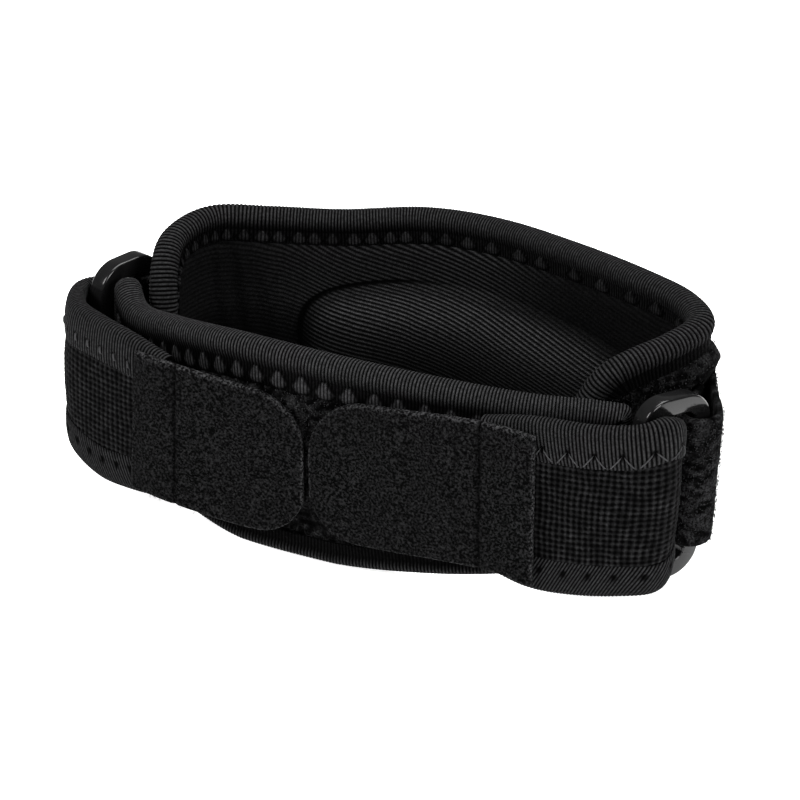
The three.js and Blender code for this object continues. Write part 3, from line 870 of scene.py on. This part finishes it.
def rolled_binding(name, rim, kind, seed):
    """Ribbed panel binding round a rim, with tufts where it is stitched along the upper side, and painted
    shade in its grooves, under its roll, on its leg and round its tufts.
    """
    run = rim.course.length
    rib_count = counted(rim.even, np.interp(np.minimum(rim.s, run - rim.s), RIB_EASE, kind["pitches"]))
    share = rim.s / run
    changing = (kind[k] for k in ("tufts", "tuft_wide", "groove", "tufted_leg"))
    spacing, broad, groove, tufted_leg = (np.interp(share, kind["tuft_ease"], pair) for pair in changing)
    tuft_count = counted(rim.even, spacing)
    step = np.linspace(0, rib_count[-1], round(rib_count[-1]) * SAMPLES_PER_RIB + 1)
    distance = np.interp(step, rib_count, rim.even)[:, None]
    n, inward, down, ribbed = rolled_section(kind).T
    out_n, out_inward = section_normals(n, inward)
    on_leg, tufted = down >= 0, np.sign(n) == kind["tuft_face"]
    upper = rim.read(distance, rim.upper)
    rib = ridge(step, 1.0)[:, None] * ribbed
    broad, groove, tufted_leg = (rim.read(distance, values) for values in (broad, groove, tufted_leg))
    tuft = tufts(rim.read(distance, tuft_count), down, broad, kind, seed) * tufted * upper
    lift = kind["depth"] * rib * np.where(on_leg, LEG_RIB, 1)
    # Painted shade: dark in the grooves between ribs, towards the groove under the roll, on the leg and
    # between the tufts
    fade = np.clip((1 - inward / kind["roll"]) / (1 - GROOVE_FROM), 0, 1)
    on_roll = groove + (1 - groove) * fade
    plain = rib * np.where(on_leg, np.where(tufted, tufted_leg, PLAIN_LEG), on_roll)
    tufted_crest = kind["tuft_shade"] * tuft**TUFT_FULL * (TUFT_PLAIN + (1 - TUFT_PLAIN) * rib)
    # Painted shade round each tuft's outline and over the whole binding
    outline = np.where(tuft > 0, np.clip(tuft / TUFT_OUTLINE_SHADE["height"], TUFT_OUTLINE_SHADE["shade"], 1), 1)
    crest = kind["shade"] * outline * np.maximum(plain, tufted_crest)
    wide = kind["low_share"] + (1 - kind["low_share"]) * upper
    points = rim.place(
        distance, n + np.sign(n) * TUFT_STAND * tuft + lift * out_n, wide * (inward + lift * out_inward),
    )
    return wrapped(name, points, distance[:, 0], crest)


def edge_place(course, edge):
    """Place function of the top or bottom rim of a course."""

    def place(distance, n, inward):
        """Points by distance along the rim, n out and inward from it."""
        bottom, top = course.edges(distance)
        return course.place(distance, n, top - inward if edge == "top" else bottom + inward)

    return place


def level(n):
    """A face at an even distance n from the middle plane."""
    return lambda s, z: np.full(np.broadcast_shapes(np.shape(s), np.shape(z)), float(n))


def band(name, course, s, low, high, outer, inner, rows, back_rows, crest=level(1.0)):
    """Closed band of cloth: rows up its outer face, a count or shares, and back_rows down its inner one."""
    up = np.linspace(0, 1, rows) if np.isscalar(rows) else rows
    up = np.broadcast_to(up, (len(s), up.shape[-1]))
    down = np.broadcast_to(np.linspace(1, 0, back_rows), (len(s), back_rows))
    z = low[:, None] + (high - low)[:, None] * np.hstack([up, down, up[:, :1]])
    on_outer = np.arange(z.shape[1]) < up.shape[1]
    on_outer[-1] = True
    across = s[:, None]
    n = np.where(on_outer, outer(across, z), inner(across, z))
    return wrapped(name, course.place(across, n, z), s, crest(across, z))


def fibre_paths(course, count, s_range, low, high, face, kind, seed):
    """Paths of short fibres standing on a face, some of them closed loops, and their facing directions."""
    dice = np.random.default_rng(seed)
    s = dice.uniform(*s_range, count)
    z = low(s) + (high(s) - low(s)) * dice.uniform(0, 1, count)
    n = face(s, z)
    root = course.place(s, n, z)
    up = unit(course.place(s, n + np.sign(n), z) - root)
    turn = dice.uniform(0, 2 * np.pi, count)[:, None]
    sideways = unit(np.cross(up, [0.0, 0.0, 1.0]))
    lie = np.cos(turn) * sideways + np.sin(turn) * np.cross(up, sideways)
    length = kind["length"] * dice.uniform(*FIBRE_LENGTHS, (count, 1))
    rise = kind["rise"] * dice.uniform(*FIBRE_RISES, (count, 1))
    looped = dice.uniform(0, 1, (count, 1)) < kind["loops"]
    over = np.array(FIBRE_OVER) * length
    lift = np.where(looped, LOOP_RISE, CUT_RISE) * rise
    paths = root[:, None] + over[..., None] * lie[:, None] + lift[..., None] * up[:, None]
    return paths, np.cross(lie, up)


def fibres(name, course, s_range, low, high, face, kind, seed):
    """Mesh of the fibres of a face of cloth."""
    middle = np.array([np.mean(s_range)])
    area = (s_range[1] - s_range[0]) * float((high(middle) - low(middle))[0])
    count = round(area / FIBRE_AREA * kind["density"])
    paths, facing = fibre_paths(course, count, s_range, low, high, face, kind, seed)
    return strands(name, paths, kind["radius"], facing, crest=np.array(FIBRE_SHADING))


def lump_crest(kind, seed):
    """Painted shading of a face of lumps, from 0 to 1: painted shade in the hollows, light on the tops."""
    return lambda s, z: (1 + lumps(s, z, kind["lump"], seed)) / 2


class Panel:
    """A padded panel: its course, the edges of its cloth inside the binding, and its crowned pile face."""

    def __init__(self, rows, side, corners, binding, seed, bulge_out=0.0):
        self.course = Course(rows, side)
        self.corners, self.binding, self.seed, self.bulge_out = corners, binding, seed, bulge_out
        self.rim = binding["edge"] + 2 * GAP

    def drop(self, s):
        """How far the cloth's edges drop at the round ends."""
        first, last = (max(corner - self.rim, GAP) for corner in self.corners)
        return corner_drop(s - self.rim, first) + corner_drop(self.course.length - self.rim - s, last)

    def low(self, s):
        """Lower edge of the cloth."""
        return self.course.edges(s)[0] + self.rim + self.drop(s)

    def high(self, s):
        """Upper edge of the cloth."""
        return self.course.edges(s)[1] - self.rim - self.drop(s)

    def crown(self, s, z):
        """Crown of the padded panel between its bindings."""
        bottom, top = self.course.edges(s)
        inside = np.clip((np.minimum(z - bottom, top - z) - self.binding["leg"]) / PUFF_RAMP, 0, 1)
        return PANEL_PUFF * np.sqrt(inside)

    def bulge(self, s, z):
        """Share by which the crown stands out more at the right curl."""
        across = bump(s - self.course.distance_at_x(CURL_BULGE["x"]), CURL_BULGE["long"])
        return self.bulge_out * across * bump(z - CURL_BULGE["z"], CURL_BULGE["tall"])

    def pile_face(self, s, z):
        """Pile face outside, lumpy where no binding covers it."""
        crown = self.crown(s, z) * (1 + self.bulge(s, z))
        return PANEL_HALF + crown + PILE["height"] * lumps(s, z, PILE["lump"], self.seed) * (crown > 0)

    def plain_face(self, s, z):
        """Plain crowned face inside."""
        return -PANEL_HALF - self.crown(s, z)

    def pile_low(self, s):
        """Lower edge of the bare pile."""
        return self.course.edges(s)[0] + self.binding["leg"]

    def pile_high(self, s):
        """Upper edge of the bare pile."""
        return self.course.edges(s)[1] - self.binding["leg"]

    def fuzz(self, name, s_range, low, high, kind, seed):
        """Piece of the fibres on a stretch of the pile."""
        mesh = fibres(name, self.course, s_range, low, high, self.pile_face, kind, seed)
        piece(mesh, MATERIALS["Pile fibre"], "pile_fabric")

    def cloth(self, name, node, inner):
        """Piece of the panel's cloth."""
        s = spaced(self.rim, self.course.length - self.rim, PILE["step"])
        mesh = band(
            name, self.course, s, self.low(s), self.high(s), self.pile_face, inner,
            PILE["rows"], PILE["back_rows"], lump_crest(PILE, self.seed),
        )
        return piece(mesh, MATERIALS["Loop pile"], "pile_fabric", node)

    def roll(self, name, cut, cloth, *nodes):
        """Binding round the panel's edge, folded over the cloth; the cut width and the cloth given are not
        used.
        """
        rim = Rim(self.course, *self.corners)
        mesh = rolled_binding(name, rim, self.binding, self.seed)
        made = piece(mesh, MATERIALS["Rib binding"], "rib_binding", *nodes)


# Back panel: padded pile outside, binding all round, lining and pad inside
back_panel = Panel(
    BACK_ROWS, BACK_SIDE, BACK_CORNERS, BACK_BINDING, SEEDS["back_panel"], CURL_BULGE["out"],
)
back = back_panel.course
back_cloth = back_panel.cloth("back_panel_cloth", "back_panel", level(-PANEL_HALF))
back_panel.roll("back_binding_roll", BINDING_CUT["back"], back_cloth, "back_binding")
back_panel.fuzz(
    "back_panel_fibres", (BACK_BINDING["leg"], back.length - BACK_BINDING["leg"]),
    back_panel.pile_low, back_panel.pile_high, FIBRES["panel"], SEEDS["back_fibres"],
)

pad_s = back.distance_at_x(PAD["x"])


def pad_rim(s, z):
    """Share from 0 at the pad's middle to 1 at its rim."""
    sideways, upright = (s - pad_s) / PAD["half_length"], (z - PAD["z"]) / PAD["half_height"]
    return np.abs(sideways) ** PAD_FACE["ends_round"] + np.abs(upright) ** PAD["round"]


def pad_bulge(s, z):
    """How far the pad lifts the lining at (s, z)."""
    inside = np.clip(1 - pad_rim(s, z), 0, 1)
    full = inside**2 / (inside + PAD_FACE["foot"])
    return PAD["rise"] * (1 - (1 - full) ** PAD_FACE["fullness"])


def lining_tuck(s, z):
    """Share from 0 at the lining's tucked edge to 1 inside it."""
    bottom, top = back.edges(s)
    ends = np.minimum(s, back.length - s) - LINING["ends"]
    near = np.minimum(np.minimum(z - bottom, top - z) - LINING["inset"], ends)
    return np.clip(near / LINING["tuck"], 0, 1) ** LINING["tuck_ease"]


def cloth_heights(s):
    """Heights of the even levels measured over the lining, from the top down, for a column of distances."""
    steps = np.hypot(np.diff(LINING_LEVELS), np.diff(pad_bulge(s, LINING_LEVELS), axis=1))
    over = np.hstack([np.zeros((len(s), 1)), np.cumsum(steps, axis=1)])
    return over - over[:, -1:]


def lining_rows(s, low, high, count):
    """Shares of the lining's height at which a count of rows lies evenly over the cloth."""
    shares = []
    for bottom, top, over in zip(low, high, cloth_heights(s[:, None])):
        ends = np.interp((bottom, top), LINING_LEVELS, over)
        z = np.interp(np.linspace(*ends, count), over, LINING_LEVELS)
        shares.append((z - bottom) / (top - bottom))
    return np.array(shares)


def lining_rib(s, z):
    """Height of the lining's ribs from 0 to 1, and how far each point lies on the pad."""
    over_cloth = np.stack([np.interp(row, LINING_LEVELS, over) for row, over in zip(z, cloth_heights(s))])
    dragged = over_cloth + read_table(RIB_DRAG, s - pad_s) * read_table(RIB_DRAG_LEVELS, z)
    on_pad = np.clip(pad_bulge(s, z) / PAD_FACE["ramp"], 0, 1)
    return ridge(dragged, LINING["pitch"]), on_pad


def lining_face(s, z):
    """Distance of the lining's ribbed face from the panel's middle plane, on the inner side."""
    tuck, (rib, on_pad) = lining_tuck(s, z), lining_rib(s, z)
    depth = LINING["flat_depth"] + (LINING["pad_depth"] - LINING["flat_depth"]) * on_pad
    leaning = s + CREASE_LEAN * (z - PAD["z"])
    crease = sum(d * bump(leaning - back.distance_at_x(x), w) for x, w, d in LINING_CREASES)
    thick = LINING["tucked"] + (LINING["thick"] - LINING["tucked"]) * tuck
    return -(LINING["seat"] + thick + pad_bulge(s, z) + (depth * rib + crease) * tuck)


def lining_crest(s, z):
    """Painted shading of the lining: rib shade stronger on the pad and above it, darker towards the bottom,
    with painted shadow along the crease round the pad.
    """
    rib, on_pad = lining_rib(s, z)
    shown = np.maximum(on_pad, read_table(RIB_SHOW, s - pad_s))
    # Painted shadow along the crease at the pad's rim
    crease_shadow = PAD_CREASE_SHADOW["shade"] * np.interp(s - pad_s, PAD_CREASE_SHADOW["fades"], (1, 0))
    crease = 1 - crease_shadow * bump(pad_rim(s, z) - 1, PAD_CREASE_SHADOW["width"])
    ribbed = 1 - (FLAT_RIB + (1 - FLAT_RIB) * shown) * (1 - rib)
    # Painted light on the pad's ribs and painted shade towards the bottom of the lining
    lit = (FLAT_CREST + (1 - FLAT_CREST) * shown) * read_table(LINING_SHADOW_BY_HEIGHT, z)
    return ribbed * lit * crease


def lining_back(s, z):
    """Hidden face of the lining, just off the panel and the pad."""
    return -(LINING["seat"] + PAD_CORE["base"] + LINING["back_rise"] * pad_bulge(s, z))


def lining_piece():
    """Ribbed lining stretched over the pad."""
    s = spaced(LINING["ends"], back.length - LINING["ends"], LINING_STEP)
    drop = corner_drop(np.minimum(s, back.length - s) - LINING["ends"], LINING_CORNER)
    low = back.edges(s)[0] + LINING["inset"] + drop
    high = back.edges(s)[1] - LINING["inset"] - drop
    tall = float(np.mean(high - low))
    count = round((tall + PAD["rise"]) / LINING["pitch"] * LINING_ROWS_PER_RIB)
    rows = lining_rows(s, low, high, count)
    made = piece(band(
        "lining_ribbed", back, s, low, high, lining_face, lining_back, rows, LINING["back_rows"],
        lining_crest,
    ), MATERIALS["Ribbed lining"], "ribbed_lining", "inner_lining")


def pad_piece():
    """Foam pad under the lining: crown and base in rings about its middle, pinched shut at both."""
    angle = np.linspace(0, 2 * np.pi, PAD_CORE["spokes"])
    square = np.abs(np.cos(angle)) ** PAD["round"] + np.abs(np.sin(angle)) ** PAD["round"]
    reach = square ** (-1 / PAD["round"])
    rings = (PAD_CORE["crown_rings"], PAD_CORE["base_rings"])
    outward, inward = (np.linspace(0, PAD_CORE["share"], count) for count in rings)
    share = np.concatenate([outward, inward[::-1]])[:, None]
    s = pad_s + PAD["half_length"] * share * reach * np.cos(angle)
    z = PAD["z"] + PAD["half_height"] * share * reach * np.sin(angle)
    crown = np.maximum(pad_bulge(s, z) - PAD_CORE["clearance"], GAP)
    crown[rings[0]:] = PAD_CORE["base"]
    points = back.place(s, -LINING["seat"] - crown, z)
    mesh = wrapped("pad_core", points, np.arange(len(share), dtype=float))
    made = piece(mesh, MATERIALS["Pad foam"], "pad_foam", "pressure_pad")


lining_piece()
pad_piece()

# Front panel with its binding, and the pile between the tips of the tabs
front_panel = Panel(FRONT_ROWS, FRONT_SIDE, FRONT_CORNERS, FRONT_BINDING, SEEDS["front_panel"])
front = front_panel.course
front_cloth = front_panel.cloth("front_panel_cloth", "front_panel", front_panel.plain_face)
front_panel.roll(
    "front_binding_roll", BINDING_CUT["front"], front_cloth, "front_binding_top", "front_binding_bottom",
)
patch_s = [front.distance_at_x(x, behind=False) for x in FRONT_PATCH["x"]]
patch_low, patch_high = (level(z) for z in FRONT_PATCH["z"])
front_panel.fuzz(
    "front_panel_fibres", patch_s, lambda s: patch_low(s, s), lambda s: patch_high(s, s),
    FIBRES["keeper"], SEEDS["front_fibres"],
)


def strap_section(leg):
    """Closed section of a flat strap binding, with the same columns."""
    half = STRAP_BINDING["half"]
    return both_faces([(n * half, i * leg, -1, 1) for n, i in STRAP_SECTION], STRAP_BINDING)


def stitch_holes(length, spacing):
    """Distances of the stitch holes along a strap."""
    count = round(length / spacing)
    return (np.arange(count) + 1 / 2) * length / count


def strap_binding(name, place, length, kind, holes):
    """Ribbed flat binding of a strap, pulled in at the stitch holes, with painted shade in its rib grooves
    and holes.
    """
    ribs = round(length / STRAP_BINDING["pitch"])
    distance = np.linspace(0, length, ribs * SAMPLES_PER_RIB + 1)[:, None]
    n, inward, _, ribbed = strap_section(kind["leg"]).T
    out_n, out_inward = section_normals(n, inward)
    rib = ridge(distance, length / ribs) * ribbed
    slanted = np.clip(distance - kind["slant"] * inward, 0, length)
    near = np.min(np.abs(slanted[..., None] - holes), axis=2)
    hole = bump(np.hypot(near, inward - kind["holes"]), STRAP_BINDING["hole"]) * ribbed
    lift = STRAP_BINDING["depth"] * rib - STRAP_BINDING["hole_depth"] * hole
    # Painted shade in the grooves between ribs and in the stitch holes, and over the whole binding
    crest = STRAP_BINDING["shade"] * rib * (1 - hole)
    points = place(slanted, n + lift * out_n, inward + lift * out_inward)
    return wrapped(name, points, distance[:, 0], crest)


def thread_marks(name, place, holes, kind, marks):
    """Mesh of the threads that show at the stitch holes of a strap's binding."""
    face = np.array([(n * STRAP_BINDING["half"], i * kind["leg"]) for n, i in STRAP_SECTION])
    face = np.vstack([face, (STRAP_HALF + KNIT["relief"] - KNIT["sink"], kind["leg"] + GAP)])
    share = np.linspace(0, 1, len(THREAD_SUNK))
    paths, facing = [], []
    for hole in holes:
        for (start_d, start_i), (end_d, end_i) in marks:
            distance = hole + start_d + (end_d - start_d) * share
            inward = kind["holes"] + start_i + (end_i - start_i) * share
            over = np.interp(inward, face[:, 1], face[:, 0]) + STRAP_BINDING["depth"] + THREAD["lift"]
            paths.append(place(distance, over - THREAD_SUNK, inward))
            facing.append(place(hole, 2.0, kind["holes"]) - place(hole, 1.0, kind["holes"]))
    return strands(name, np.array(paths), THREAD["radius"], np.array(facing), THREAD["sides"])


def knit_stitch(s, z):
    """Knit stitches in rows and columns, from 0 in the holes between them to 1: the knit's relief and its
    painted shade, dark in the holes.
    """
    sways = (KNIT["wander"] * lumps(s, z, KNIT["sway"], KNIT["seed"] + k) for k in (0, 1))
    apart, above = (1 - ridge(d + sway, KNIT["cell"], 1) for d, sway in zip((s, z), sways))
    stitch = np.clip(1 - apart * above - KNIT["lines"] * (apart + above), 0, 1)
    return stitch * (1 - KNIT["uneven"] * (1 - lumps(s, z, KNIT["cell"], KNIT["seed"])) / 2)


def knit_face(s, z):
    """Outer face of an elastic strap."""
    return STRAP_HALF - KNIT["sink"] + KNIT["relief"] * knit_stitch(s, z)


def strap_piece(end):
    """Elastic strap with its ribbed bindings and thread marks."""
    strap = Course(STRAP_ROWS[end], SIDES[end])
    s = spaced(0, strap.length, KNIT["cell"] / KNIT_SAMPLES)
    rim = STRAP_BINDING["edge"] + GAP
    low, high = strap.edges(s)[0] + rim, strap.edges(s)[1] - rim
    tall = float(np.mean(high - low))
    rows = round(tall / KNIT["cell"] * KNIT_SAMPLES)
    # The stitch height also paints the knit's shade, dark in the holes between stitches
    knit = piece(band(
        f"strap_knit_{end}", strap, s, low, high, knit_face, level(-STRAP_HALF), rows, KNIT["back_rows"],
        knit_stitch,
    ), MATERIALS["Elastic knit"], "knit_elastic", f"strap_{end}")
    holes = stitch_holes(strap.length, HOLE_SPACING[end])
    for edge, kind in STRAP_EDGES.items():
        place = edge_place(strap, edge)
        mesh = strap_binding(f"strap_binding_roll_{end}_{edge}", place, strap.length, kind, holes)
        roll = piece(mesh, MATERIALS["Rib binding"], "rib_binding", f"strap_{end}_binding_{edge}")
    place = edge_place(strap, "top")
    mesh = thread_marks(f"strap_thread_{end}", place, holes, STRAP_EDGES["top"], THREAD_MARKS[end])
    thread = piece(mesh, MATERIALS["Seam thread"], "rib_binding")


class Tab:
    """A hook tab: its course, its edges with round tip corners, and its felt face."""

    def __init__(self, end, seed):
        self.course = Course(TAB_ROWS[end], SIDES[end], TAB_SLANT[end])
        self.seed, self.corners = seed, TAB_CORNERS[end]

    def low(self, s):
        """Lower edge of the felt."""
        return self.course.edges(s)[0] + corner_drop(self.course.length - s, self.corners["bottom"])

    def high(self, s):
        """Upper edge of the felt."""
        return self.course.edges(s)[1] - corner_drop(self.course.length - s, self.corners["top"])

    def columns(self):
        """Distances of the felt's columns, closer together at the tip."""
        corner = max(self.corners.values())
        bend = corner * (1 - np.cos(np.linspace(0, np.pi / 2, 2 * CORNER_STEPS)))[::-1]
        straight = spaced(0, self.course.length - corner, FELT["step"])[:-1]
        return np.concatenate([straight, self.course.length - bend])

    def inside(self, s, z):
        """Distance of a point from the tab's edge."""
        upright = np.minimum(z - self.low(s), self.high(s) - z)
        return np.maximum(np.minimum(upright, np.minimum(s, self.course.length - s)), 0)

    def face(self, s, z):
        """Felt face: lumps, a rounded edge and the sewn line."""
        coarse = lumps(s, z, FELT["lump"], self.seed)
        fine = lumps(s, z, FELT["lump"] / 2, self.seed + 1)
        rounded = np.sqrt(np.clip(self.inside(s, z) / TAB_EDGE["round"], 0, 1))
        thick = TAB_HALF * (TAB_EDGE["least"] + (1 - TAB_EDGE["least"]) * rounded)
        lumpy = FELT["height"] * (FELT["coarse"] * coarse + (1 - FELT["coarse"]) * fine) * rounded
        return thick + lumpy - TAB_LINE["depth"] * bump(s - TAB_LINE["at"], TAB_LINE["width"])

    def crest(self, s, z):
        """Painted shading of the felt: a painted highlight along the cut edge, a painted shadow in the sewn
        line.
        """
        # Painted highlight along the cut edge and painted shadow in the sewn line
        rim = bump(self.inside(s, z), TAB_EDGE["rim"])
        line = TAB_LINE["shade"] * bump(s - TAB_LINE["at"], TAB_LINE["width"])
        return (TAB_EDGE["plain"] + (1 - TAB_EDGE["plain"]) * rim) * (1 - line)


def tab_piece(end, seed):
    """Hook tab with its felt fibres."""
    tab = Tab(end, seed)
    s, length = tab.columns(), tab.course.length
    felt = piece(band(
        f"hook_tab_felt_{end}", tab.course, s, tab.low(s), tab.high(s), tab.face, level(-TAB_HALF),
        FELT["rows"], FELT["back_rows"], tab.crest,
    ), MATERIALS["Hook felt"], "hook_felt", f"hook_tab_{end}")
    fuzz = piece(fibres(
        f"hook_tab_fibres_{end}", tab.course, (GAP, length - GAP), tab.low, tab.high, tab.face,
        FIBRES["felt"], seed + FIBRE_SEED_STEP,
    ), MATERIALS["Felt fibre"], "hook_felt")
    bottom, top = tab.course.edges(s)


def rounded_box(wide, tall, radius, corner_steps, side_steps):
    """Closed outline of a rectangle with round corners about the origin, run anticlockwise."""
    points = []
    for quarter, (side_x, side_y) in enumerate(((1, 1), (-1, 1), (-1, -1), (1, -1))):
        centre = np.array((side_x * (wide / 2 - radius), side_y * (tall / 2 - radius)))
        for angle in (quarter + np.linspace(0, 1, corner_steps + 1)) * math.pi / 2:
            points.append(centre + radius * np.array((math.cos(angle), math.sin(angle))))
    outline = np.array(points + points[:1])
    along = lengths(outline)
    extra = np.linspace(0, along[-1], 4 * side_steps + 1) if side_steps else []
    stops = np.unique(np.concatenate([along, extra]))
    return np.stack([np.interp(stops, along, outline[:, k]) for k in (0, 1)], 1)


def ring_piece(end):
    """Moulded ring: a rounded bar section along a rectangle with round corners."""
    front_bar, back_bar, lift = RING_PLACES[end]
    width = math.dist(front_bar, back_bar)
    run = (np.array(back_bar) - front_bar) / width
    low, high = RING["low"], RING["high"]
    section = rounded_box(2 * RING["across"], 2 * RING["radial"], RING["edge"], RING_EDGE_STEPS, 0)
    path = rounded_box(width, high - low, RING["corner"], RING_CORNER_STEPS, RING_SIDE_STEPS)
    out = np.stack([np.gradient(path[:, 1]), -np.gradient(path[:, 0])], 1)
    out[[0, -1]] = out[1]
    out = unit(out)
    along = width / 2 + path[:, 0, None] + section[:, 1] * out[:, 0, None]
    z = (low + high) / 2 + path[:, 1, None] + section[:, 1] * out[:, 1, None]
    z = z + lift * (1 - along / width) * (z - low) / (high - low)
    across = np.broadcast_to(section[:, 0], along.shape)
    x = front_bar[0] + along * run[0] - across * run[1]
    y = front_bar[1] + along * run[1] + across * run[0]
    points = leaned(np.stack([x, y, z], -1))
    mesh = wrapped(f"ring_moulded_{end}", points, np.arange(len(path), dtype=float))
    piece(mesh, MATERIALS["Ring plastic"], "ring_plastic", f"ring_{end}")


def keeper_rows(end):
    """Rows of a keeper: along the panel, round the ring's back bar and back beside the panel."""
    outer, inner, reach, beside = KEEPER_PLANS[end]
    side, bar_y = SIDES[end], RING_PLACES[end][1][1]
    bar_x = RING_PLACES[end][1][0] + beside

    def touch(point, way):
        """Angle at which a leg from the point meets the turn."""
        away = math.hypot(point[0] - bar_x, point[1] - bar_y)
        return math.atan2(point[1] - bar_y, point[0] - bar_x) + way * math.acos(reach / away)

    start = touch(outer[-1], -side)
    swept = (side * (start - touch(inner[0], side))) % (2 * math.pi)
    angles = start - side * swept * np.linspace(0, 1, KEEPER["turn_points"])
    wrap = [(bar_x + reach * math.cos(a), bar_y + reach * math.sin(a)) for a in angles]
    return [(x, y, KEEPER["bottom"], KEEPER["top"]) for x, y in [*outer, *wrap, *inner]]


def keeper_piece(end, seed):
    """Pile keeper round the ring's back bar, with its fibres."""
    keeper = Course(keeper_rows(end), SIDES[end])
    s = spaced(0, keeper.length, PILE["step"])
    low, high = (level(KEEPER[k]) for k in ("bottom", "top"))

    def face(s, z):
        """Pile face with rounded edges."""
        near = np.minimum(z - KEEPER["bottom"], KEEPER["top"] - z) / KEEPER["edge"]
        rounded = KEEPER["least"] + (1 - KEEPER["least"]) * np.sqrt(np.clip(near, 0, 1))
        return KEEPER_HALF * rounded + KEEPER["lumpy"] * PILE["height"] * lumps(s, z, PILE["lump"], seed)

    made = piece(band(
        f"keeper_pile_{end}", keeper, s, low(s, s), high(s, s), face, level(-KEEPER_HALF),
        PILE["rows"], PILE["back_rows"], lump_crest(PILE, seed),
    ), MATERIALS["Loop pile"], "pile_fabric", f"keeper_{end}")
    fuzz = piece(fibres(
        f"keeper_fibres_{end}", keeper, (GAP, keeper.length - KEEPER["hidden_leg"]),
        lambda s: low(s, s), lambda s: high(s, s), face, FIBRES["keeper"], seed + FIBRE_SEED_STEP,
    ), MATERIALS["Pile fibre"], "pile_fabric")


# Rings, straps, tabs and keepers of both ends
for end in SIDES:
    ring_piece(end)
    strap_piece(end)
    tab_piece(end, SEEDS["tab"][end])
    keeper_piece(end, SEEDS["keeper"][end])


def soft_light(name, place, size, power):
    """Square soft light that looks at the middle of the brace."""
    lamp = bpy.data.lights.new(name, "AREA")
    lamp.energy = power
    lamp.size = size
    made = bpy.data.objects.new(name, lamp)
    made.location = place
    aim = Vector((0, 0, CAMERA["height"])) - Vector(place)
    made.rotation_euler = aim.to_track_quat("-Z", "Y").to_euler()
    bpy.context.scene.collection.objects.link(made)


def studio():
    """Pale floor, sky and soft lights."""
    bm = bmesh.new()
    bmesh.ops.create_grid(bm, x_segments=1, y_segments=1, size=FLOOR["half"])
    bmesh.ops.translate(bm, verts=bm.verts, vec=(0, 0, -FLOOR["drop"]))
    mesh = bpy.data.meshes.new("floor")
    bm.to_mesh(mesh)
    bm.free()
    floor = bpy.data.objects.new("floor", mesh)
    bpy.context.scene.collection.objects.link(floor)
    pale, _, shader = new_material("Studio floor")
    white = FLOOR["white"]
    shader.inputs["Base Color"].default_value = (white, white, white, 1)
    shader.inputs["Roughness"].default_value = FLOOR["rough"]
    shader.inputs["Specular IOR Level"].default_value = FLOOR["specular"]
    shader.inputs["Emission Color"].default_value = WHITE
    shader.inputs["Emission Strength"].default_value = FLOOR["glow"]
    mesh.materials.append(pale)
    floor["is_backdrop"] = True
    world = bpy.data.worlds.new("Studio")
    world.use_nodes = True
    background = world.node_tree.nodes["Background"]
    background.inputs["Color"].default_value = WHITE
    background.inputs["Strength"].default_value = SKY
    bpy.context.scene.world = world
    for name, light in LIGHTS.items():
        soft_light(name, **light)


def camera():
    """Camera at the photograph's viewing angle."""
    azimuth, elevation = math.radians(CAMERA["azimuth"]), math.radians(CAMERA["elevation"])
    level_way = math.cos(elevation)
    back_way = Vector((
        math.sin(azimuth) * level_way, -math.cos(azimuth) * level_way, math.sin(elevation),
    ))
    right_way = Vector((math.cos(azimuth), math.sin(azimuth), 0))
    aim = Vector((0, 0, CAMERA["height"])) - Vector(PLAN_CENTRE * MM) + CAMERA["right"] * right_way
    lens = bpy.data.cameras.new("photo")
    lens.lens = CAMERA["lens"]
    made = bpy.data.objects.new("photo", lens)
    made.location = aim + CAMERA["distance"] * back_way
    made.rotation_euler = (-back_way).to_track_quat("-Z", "Y").to_euler()
    bpy.context.scene.collection.objects.link(made)
    bpy.context.scene.camera = made


# Studio, camera and the sizes of the solids and of the dressed brace
studio()
camera()
bpy.context.scene.view_settings.view_transform = "Standard"

boxes = {"cad": cad_box, "visual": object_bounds()}
{name: [list(corner) for corner in box] for name, box in boxes.items()}
